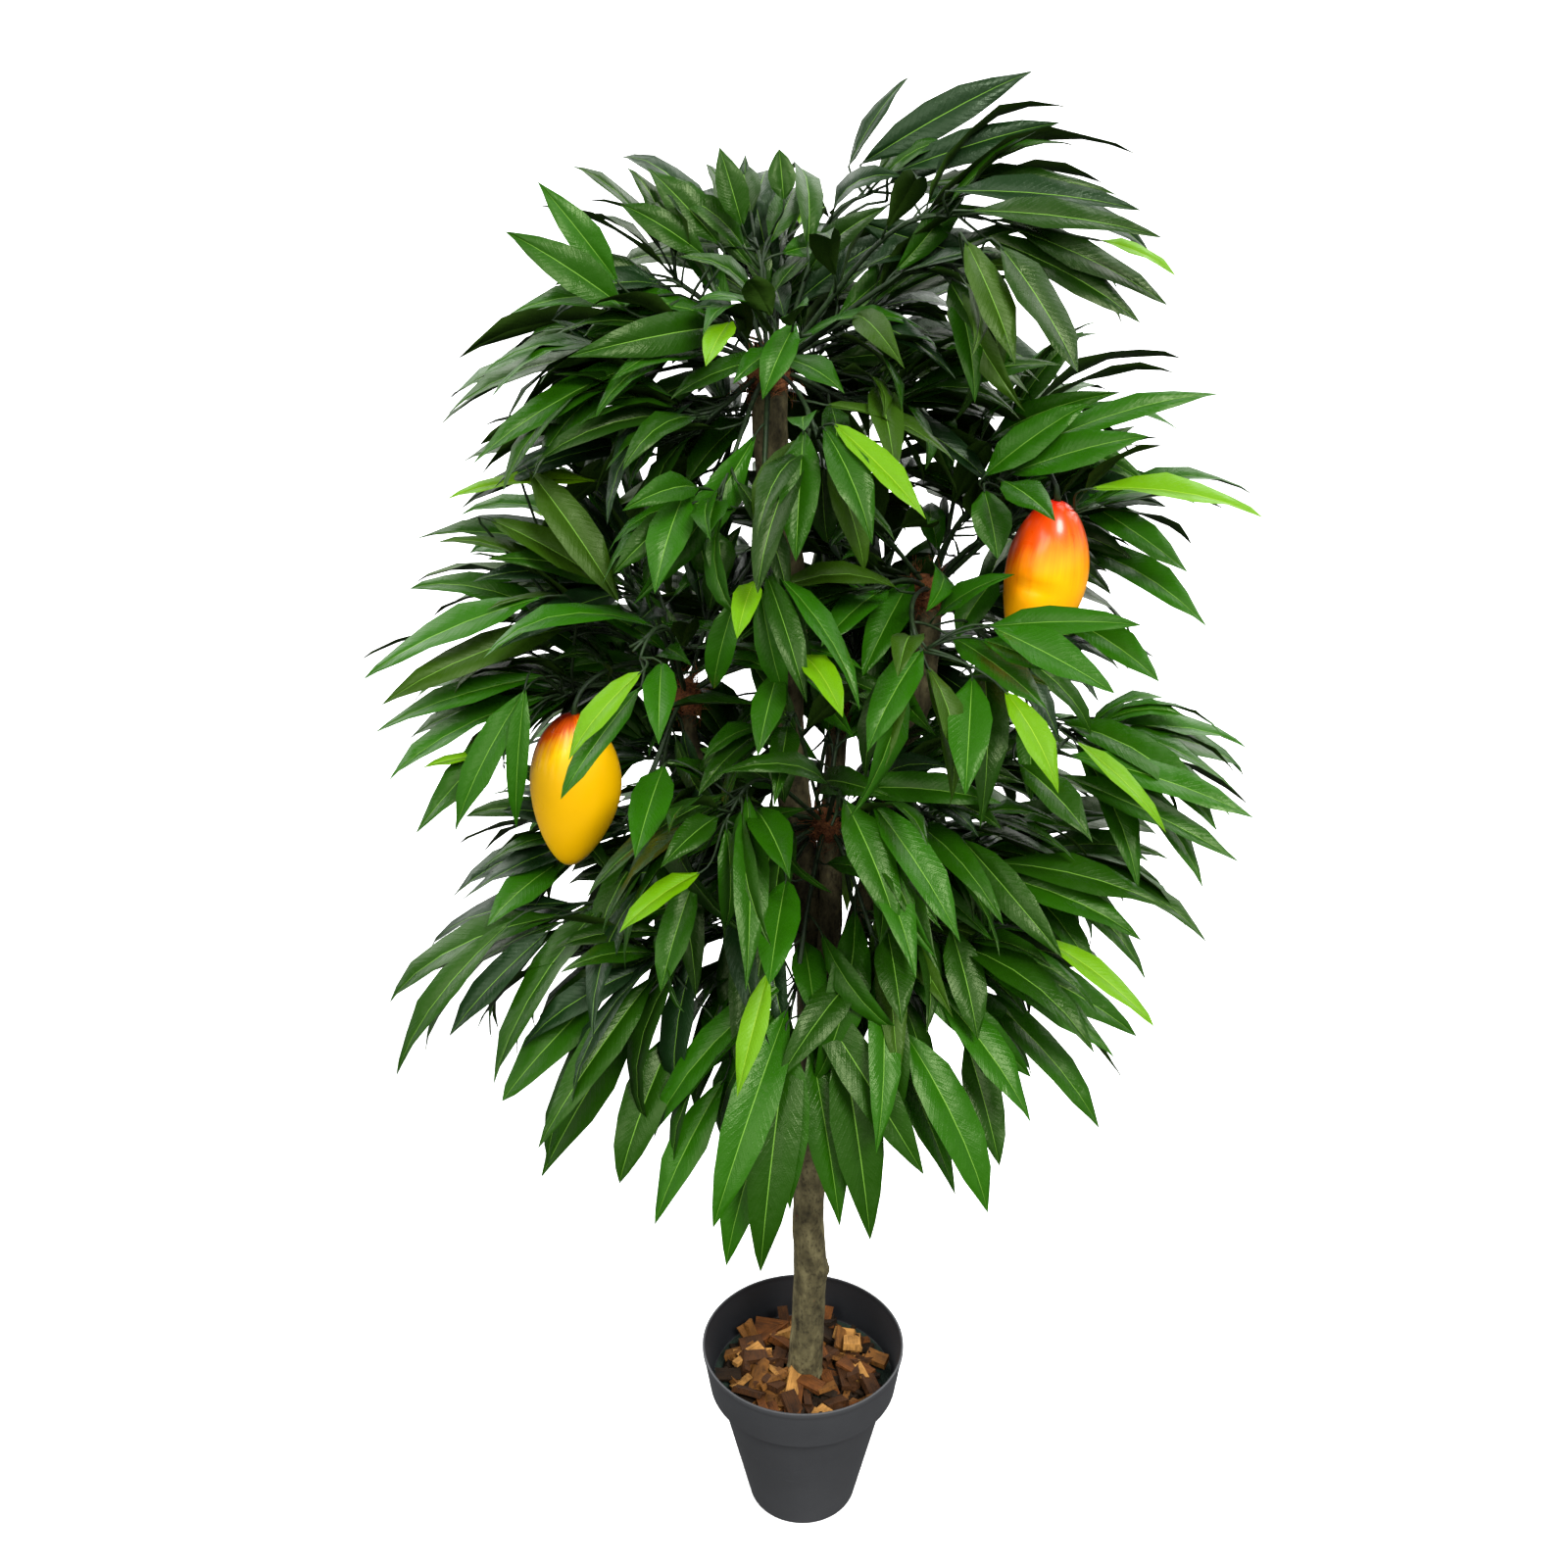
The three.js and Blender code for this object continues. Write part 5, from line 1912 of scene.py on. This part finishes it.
class Spray:
    """One spray: a stem from the tuft, forked twigs, and leaves set along them."""

    def __init__(self, plan: SprayPlan, root: Vector, seed: int, rule: BranchingRule,
                 obstacles: Sequence[Obstacle]) -> None:
        """Prepares a spray.

        Args:
            plan: Its place and its fan.
            root: Where its stem leaves the tuft.
            seed: Starts its random numbers.
            rule: How it branches.
            obstacles: What its leaves keep clear of.
        """
        self.plan = plan
        self.root = root
        self.rule = rule
        self.obstacles = obstacles
        self.seed = seed
        self.rng = random.Random(seed)
        self.hub = Vector(plan.hub)
        self.ahead = aim(plan.heading, plan.pitch)
        level = aim(plan.heading + 90, 0)
        self.face = self.ahead.cross(level)
        tilt = math.radians(plan.roll)
        self.across = level * math.cos(tilt) + self.face * math.sin(tilt)
        self.face = self.ahead.cross(self.across)
        # How lit the spray is, from its heading and height: more in front, less at the back and the top. It
        # sets how dark its greens are, as painted light and shade.
        self.light = min(max(0.5 - 0.5 * self.ahead.y - 3 * max(self.hub.z - 0.95, 0.0), 0.0), 1.0)
        self.family = self.pick_family()
        self.leaves: list[LeafPlace] = []
        self.runs: list[Run] = []
        self.stem = self.stem_line()
        self.twigs: list[tuple[float, tuple[Vector, ...]]] = []

    def pick_family(self) -> Family:
        """Picks the greens by the light that falls on the spray: darker greens where less light falls, as
        painted shade, and lighter ones where more falls, as painted light. The weights follow Family's
        order.

        Returns:
            The greens.
        """
        light = self.light
        weights = (7 - 6.4 * light, 4 if light > 0.3 else 1, 0.1 + 5 * light, 1.6 * light)
        return self.rng.choices(list(Family), weights=weights)[0]

    def stem_line(self) -> tuple[Vector, ...]:
        """Bends the stem from the tuft to the hub.

        Returns:
            The four control points of its curve.
        """
        gap = self.hub - self.root
        flat = Vector((gap.x, gap.y, 0.0)).normalized()
        start = (flat * 0.3 + gap.normalized() * 0.6 + UP * 0.3) * (gap.length * 0.34)
        return self.root, self.root + start, self.hub - self.ahead * gap.length * 0.26, self.hub

    def ray(self, swing: float, droop: float, lift: float = 0.0) -> Vector:
        """Works out a direction out of the hub. Angles are in degrees.

        Args:
            swing: How far it swings from the heading, in the fan.
            droop: How far it droops.
            lift: How far it rises off the fan.

        Returns:
            The unit vector.
        """
        s, d, u = (math.radians(angle) for angle in (swing, droop, lift))
        out = (self.ahead * math.cos(s) + self.across * math.sin(s)) * math.cos(u) + self.face * math.sin(u)
        out.z -= math.sin(d)
        return out.normalized()

    def outer_tips(self) -> list[tuple[float, Vector]]:
        """Spreads the outermost leaves.

        Returns:
            The side of each, from -1 to 1, and its tip.
        """
        rule, plan = self.rule, self.plan
        wobble = Wobble(self.seed)
        tips = []
        for i in range(plan.outer):
            side = 2 * i / (plan.outer - 1) - 1
            swing = side * plan.spread + wobble() * rule.stray
            droop = rule.side_droop * side * side + wobble() * rule.stray
            length = plan.reach * (1 - rule.side_short * side * side + rule.unevenness * wobble())
            length *= self.rng.uniform(*rule.outer_reach)
            lift = self.rng.uniform(-rule.outer_lift, rule.outer_lift)
            tips.append((side, self.hub + self.ray(swing, droop, lift) * length))
        return tips

    def grow_twigs(self) -> None:
        """Makes the stem and the twigs that fork from it."""
        rule, rng = self.rule, self.rng
        length = (self.hub - self.root).length
        steps = rule.stem_steps
        points = [bezier(self.stem, k / steps)[0] for k in range(steps + 1)]
        radii = [rule.stem_radius * (1.15 - 0.35 * k / steps) for k in range(steps + 1)]
        self.runs.append(Run(points, radii))
        for side in rule.twig_sides:
            droop = rule.side_droop * side * side * rule.twig_droop
            out = self.ray(side * self.plan.spread, droop, rng.uniform(*rule.twig_lift))
            end = self.hub + out * rng.uniform(*rule.twig_reach)
            back = rng.uniform(*rule.twig_back) * abs(side) / length
            foot, along = bezier(self.stem, max(rule.first_fork, 1 - back))
            reach = (end - foot).length
            twig = (foot, foot + along * reach * 0.4, end - out * reach * 0.3, end)
            steps = rule.twig_steps
            points = [bezier(twig, k / steps)[0] for k in range(steps + 1)]
            self.runs.append(Run(points, [rule.twig_radius * (1.1 - 0.06 * k) for k in range(steps + 1)]))
            self.twigs.append((side, twig))

    def leaf(self, foot: Vector, tip: Vector, roll: float, droopy: float) -> LeafPlace:
        """Works out one leaf.

        Args:
            foot: Where its petiole leaves the twig.
            tip: Where the leaf ends.
            roll: How far it rolls about its length.
            droopy: How much more than usual it arches.

        Returns:
            The leaf's place.
        """
        rule, rng = self.rule, self.rng
        out = (tip - foot).normalized()
        rise = square_to(self.face, out)
        base = foot + (out + rise * rule.petiole_rise).normalized() * rng.uniform(*rule.petiole)
        length = (tip - base).length
        low, high = rule.leaf_width
        width = min(max(length * rng.uniform(*rule.slimness), low), high)
        up = Matrix.Rotation(math.radians(roll), 3, out) @ rise
        tint = rng.choices(self.family.value, weights=TINT_WEIGHTS)[0]
        return LeafPlace(base, tip, up, width, rng.uniform(*rule.arch) * droopy, rng.uniform(*rule.fold),
                         rng.uniform(-rule.twist, rule.twist), rng.uniform(0, 2 * math.pi),
                         rng.uniform(*rule.taper), tint)

    def keep(self, foot: Vector, leaf: LeafPlace) -> bool:
        """Keeps a leaf that is clear of the wood and the fruit, and gives it its petiole.

        Args:
            foot: Where the petiole leaves the twig.
            leaf: The leaf.

        Returns:
            True if the leaf was kept.
        """
        line = leaf.line()
        middles = [bezier(line, share)[0] for share in self.rule.tested_shares]
        gap = self.rule.gap
        if not all(thing.clear_of(middle, gap) for thing in self.obstacles for middle in middles):
            return False
        self.attach(foot, leaf)
        return True

    def attach(self, foot: Vector, leaf: LeafPlace) -> None:
        """Adds a leaf and the petiole that carries it.

        Args:
            foot: Where the petiole leaves the twig.
            leaf: The leaf.
        """
        self.leaves.append(leaf)
        radius = self.rule.petiole_radius
        _, along = bezier(leaf.line(), 0.0)
        reach = (leaf.base - foot).length
        steps = self.rule.petiole_steps[reach >= self.rule.long_petiole]
        rise = UP * (0.12 * reach)
        line = (foot, foot.lerp(leaf.base, 0.35) + rise, leaf.base - along * (0.38 * reach), leaf.base)
        points = [bezier(line, k / steps)[0] for k in range(steps + 1)]
        points.append(bezier(leaf.line(), 0.05)[0] + square_to(leaf.up, along) * 0.0002)
        radii = [radius * (1.25 - 0.3 * k / steps) for k in range(steps + 1)]
        self.runs.append(Run(points, [*radii, radius * 0.4]))

    def set_placed(self, placed: PlacedLeaf) -> None:
        """Sets a leaf in its own place, on whatever part of the spray is nearest to its base.

        Args:
            placed: The leaf.
        """
        rule, rng = self.rule, self.rng
        base, tip = placed.base, placed.tip
        # Placed leaves in well lit sprays take the lighter greens, as painted light.
        family = Family.LIGHT if self.light > rule.bright else self.family
        tint = None if placed.young else rng.choices(family.value, weights=TINT_WEIGHTS)[0]
        twigs = [self.stem] + [twig for _, twig in self.twigs]
        feet = [bezier(twig, share)[0] for twig in twigs for share in rule.placed_feet]
        foot = min(feet, key=lambda spot: (spot - base).length)
        up = square_to(UP - Vector((0.0, placed.facing, 0.0)), (tip - base).normalized())
        width = placed.width * rule.placed_width
        arch, fold = rng.uniform(*rule.placed_arch), rng.uniform(*rule.fold)
        twist = rng.uniform(-rule.placed_twist, rule.placed_twist) * rule.twist
        phase = rng.uniform(0, 2 * math.pi)
        taper = rng.uniform(*rule.taper)
        self.attach(foot, LeafPlace(base, tip, up, width, arch, fold, twist, phase, taper, tint))

    def set_leaf(self, side: float, tip: Vector, droopy: float = 1.0) -> None:
        """Sets one leaf on the twig that is nearest to its side of the fan.

        Args:
            side: Its side, from -1 to 1.
            tip: Where it ends.
            droopy: How much more than usual it arches.
        """
        rule, rng = self.rule, self.rng
        _, twig = min(self.twigs, key=lambda end: abs(end[0] - side) + rng.uniform(0, rule.twig_choice))
        foot, _ = bezier(twig, rng.uniform(*rule.twig_feet))
        roll = -side * rule.side_roll + rng.gauss(0, rule.roll)
        self.keep(foot, self.leaf(foot, tip, roll, droopy))

    def set_stem_leaves(self) -> None:
        """Sets smaller leaves along the stem."""
        rule, rng = self.rule, self.rng
        length = (self.hub - self.root).length
        first, last = rule.stem_leaf_shares
        count = round(length * (last - first) / rule.stem_leaf_step)
        for i in range(count):
            share = first + (last - first) * (i + rng.uniform(*rule.stem_leaf_jitter)) / count
            foot, along = bezier(self.stem, share)
            level = along.cross(UP).normalized() * (1 if i % 2 else -1)
            for _ in range(rule.tries):
                out = along * rng.uniform(*rule.stem_leaf_ahead) + level * rng.uniform(*rule.stem_leaf_aside)
                out = out + UP * rng.uniform(*rule.stem_leaf_rise)
                reach = rng.uniform(*rule.stem_leaf_length)
                tip = foot + out.normalized() * reach - UP * (rule.stem_leaf_drop * reach)
                roll = rng.gauss(0, rule.stem_leaf_roll * rule.roll)
                if self.keep(foot, self.leaf(foot, tip, roll, rule.off_fan_droopy)):
                    break

    def grow(self) -> None:
        """Grows the whole spray."""
        rule, rng, plan = self.rule, self.rng, self.plan
        self.grow_twigs()
        for placed in PLACED_LEAVES:
            if placed.spray == plan.name:
                self.set_placed(placed)
        tips = self.outer_tips()
        for side, tip in tips:
            self.set_leaf(side, tip)
        for (left, _), (right, _) in zip(tips, tips[1:]):
            side = (left + right) / 2 + rng.uniform(-rule.upper_stray, rule.upper_stray)
            lift = rng.uniform(*rule.upper_lift)
            out = self.ray(side * plan.spread * rule.upper_spread, rule.side_droop * side * side, lift)
            if rng.random() < rule.upper_share * plan.fullness:
                tip = self.hub + out * plan.reach * rng.uniform(*rule.upper_reach)
                self.set_leaf(side, tip, rule.upper_droopy)
        for count, lifts, reaches in ((rule.crests, rule.crest_lift, rule.crest_reach),
                                      (rule.unders, rule.under_lift, rule.under_reach)):
            for _ in range(round(count * plan.fullness)):
                side = rng.uniform(-rule.off_fan_side, rule.off_fan_side)
                out = self.ray(side * plan.spread, 0, rng.uniform(*lifts))
                tip = self.hub + out * plan.reach * rng.uniform(*reaches)
                self.set_leaf(side, tip, rule.off_fan_droopy)
        self.set_stem_leaves()


INNER_COUNTS = {"trunk": 9, "pole_right": 6, "pole_left": 6, "pole_front": 5, "pole_back": 6}
ROOT_DEPTH = 0.002


class Crown:
    """All the sprays, made into leaves and stems."""

    def __init__(self, framework: Framework, fruits: Sequence[Mango], rule: BranchingRule) -> None:
        """Grows every spray.

        Args:
            framework: The limbs that carry the sprays.
            fruits: The fruits, which the leaves keep clear of.
            rule: How the sprays branch.
        """
        self.sprays: dict[str, list[Spray]] = {}
        obstacles = [*framework.limbs.values(), *fruits, *self.openings(fruits)]
        seed = FIRST_SEED
        for limb, plans in CROWN.items():
            top, _ = framework.limbs[limb].end()
            self.sprays[limb] = []
            for plan in plans:
                self.sprays[limb].append(Spray(plan, top - UP * ROOT_DEPTH, seed, rule, obstacles))
                seed += 1
        for limb, count in INNER_COUNTS.items():
            top, _ = framework.limbs[limb].end()
            inner = rule.inner_plans(limb, top, count, random.Random(seed))
            for plan in [*FILL_IN.get(limb, ()), *inner]:
                self.sprays[limb].append(Spray(plan, top - UP * ROOT_DEPTH, seed, rule, obstacles))
                seed += 1
        for sprays in self.sprays.values():
            for spray in sprays:
                spray.grow()

    def openings(self, fruits: Sequence[Mango]) -> Iterator[Opening]:
        """Opens the passages through which wood, sky, fruit and the placed leaves show or are lit.

        Args:
            fruits: The fruits.

        Yields:
            The passages.
        """
        for spot, radius in SHOWN_WOOD:
            yield Opening(Vector(spot), radius)
        for spot, radius in SHOWN_WOOD[:LIT_WOOD]:
            for light in (KEY_LIGHT, FILL_LIGHT):
                far_end = Vector(spot) + aim(*light) * LIGHT_REACH
                yield Opening(Vector(spot), WOOD_LIGHT * radius, far_end=far_end)
        for spot, radius in HOLLOWS:
            yield Opening(VIEW.place(spot), radius)
        for spot, radius in SKY_GAPS:
            yield Opening(VIEW.place(spot), radius, SKY_BEHIND)
        for fruit in fruits:
            for rise in FRUIT_SPOTS:
                spot = fruit.centre + UP * rise * fruit.length
                yield Opening(spot, 0.5 * fruit.width)
                for light in (KEY_LIGHT, FILL_LIGHT):
                    far_end = spot + aim(*light) * LIGHT_REACH
                    yield Opening(spot, FRUIT_LIGHT * fruit.width, far_end=far_end)
        for placed in PLACED_LEAVES:
            if placed.tip.y < 0:
                for share in CLEARED_SHARES:
                    yield Opening(placed.base.lerp(placed.tip, share), LEAF_CLEARANCE)

    def build(self) -> None:
        """Makes the leaves and the stems of each limb, and the young leaves."""
        blade = LeafBlade()
        skins = [finish.material() for finish in LEAF_FINISHES]
        stem = STEM_FINISH.material()
        lime = bmesh.new()
        for limb, sprays in self.sprays.items():
            bm = bmesh.new()
            for spray in sprays:
                for leaf in spray.leaves:
                    if leaf.tint is None:
                        blade.add(lime, leaf, (0, 1, 2))
                    else:
                        blade.add(bm, leaf, (leaf.tint.value, RIB, UNDERSIDE))
            piece = make_piece(f"foliage_{limb}", bm, skins)
            install(piece, ["leaves_" + plan.name for plan in CROWN[limb]])
            runs = [run for spray in sprays for run in spray.runs]
            install(make_strands(f"stems_{limb}", runs, stem, 0))
        skins = [finish.material() for finish in YOUNG_LEAF_FINISHES]
        install(make_piece("foliage_young", lime, skins))
        total = sum(len(spray.leaves) for sprays in self.sprays.values() for spray in sprays)
        LOG.info("leaves: %d", total)


# ---------- studio ----------


@dataclass
class Studio:
    """Pale floor, soft light and the camera.

    The sky is given as heights, from -1 to 1, and strengths. A lamp is its name, its heading
    and pitch, its softness in degrees and its power.
    """

    floor_size: float = 80.0
    floor_colour: Colour = (0.9, 0.9, 0.9, 1.0)
    floor_glow: float = 0.26
    sky: tuple[Span, ...] = (
        (-0.5, 0.12), (-0.14, 0.2), (-0.06, 1.0), (0.2, 1.0), (0.4, 0.6), (1.0, 0.62),
    )
    lamps: tuple[tuple[str, Span, float, float], ...] = (
        ("key", KEY_LIGHT, 24.0, 4.6),
        ("fill", FILL_LIGHT, 40.0, 1.9),
        ("back", BACK_LIGHT, 60.0, 3.2),
        ("side", SIDE_LIGHT, 60.0, 3.0),
    )
    lamp_distance: float = 4.0
    farthest: float = 200.0

    def lay_floor(self) -> None:
        """Makes the floor, which throws no light back."""
        bm = bmesh.new()
        bmesh.ops.create_grid(bm, x_segments=2, y_segments=2, size=self.floor_size / 2)
        finish = PlainFinish("floor_white", self.floor_colour, self.floor_glow)
        floor = make_piece("studio_floor", bm, [finish.material()])
        floor.visible_diffuse = False
        floor.visible_glossy = False

    def light_sky(self) -> None:
        """Makes the sky, whose strength depends on the height alone."""
        world = bpy.data.worlds.new("studio_world")
        world.use_nodes = True
        n = Nodes(world.node_tree)
        split = n.node("SeparateXYZ", {0: n.coordinates.outputs["Generated"]})
        height = n.spread(split.outputs[2], 0.0, 1.0, start=-1.0, end=1.0)
        stops = [((level + 1) / 2, (power, power, power, 1.0)) for level, power in self.sky]
        background = n.tree.nodes["Background"]
        n.feed(background.inputs["Color"], WHITE)
        n.feed(background.inputs["Strength"], n.ramp(height, *stops))
        bpy.context.scene.world = world

    def hang_lamps(self) -> None:
        """Makes the soft, even lights."""
        for name, (heading, pitch), softness, power in self.lamps:
            light = bpy.data.lights.new(name, "SUN")
            light.angle = math.radians(softness)
            light.energy = power
            lamp = bpy.data.objects.new(name, light)
            lamp.location = aim(heading, pitch) * self.lamp_distance
            lamp.rotation_euler = (-aim(heading, pitch)).to_track_quat("-Z", "Y").to_euler()
            show(lamp)

    def set_camera(self) -> None:
        """Makes the camera."""
        camera = bpy.data.cameras.new("camera")
        camera.lens = VIEW.lens
        camera.sensor_width = VIEW.sensor
        camera.clip_end = self.farthest
        holder = bpy.data.objects.new("camera", camera)
        holder.location = EYE
        holder.rotation_euler = (math.radians(90 - VIEW.look_down), 0.0, 0.0)
        show(holder)
        bpy.context.scene.camera = holder
        bpy.context.scene.view_settings.view_transform = "Standard"

    def build(self) -> None:
        """Makes the studio."""
        self.lay_floor()
        self.light_sky()
        self.hang_lamps()
        self.set_camera()


def main() -> None:
    """Builds the studio and the tree, piece by piece."""
    logging.basicConfig(level=logging.INFO, format="%(message)s")
    Studio().build()
    pot = Pot()
    pot.build()
    Filling(pot).build()
    WoodChips(pot).build()
    framework = Framework()
    framework.build()
    Crown(framework, MANGOES, BranchingRule()).build()
    stem = bpy.data.materials[STEM_FINISH.name]
    for mango in MANGOES:
        mango.build(framework, stem)


if __name__ == "__main__":
    main()
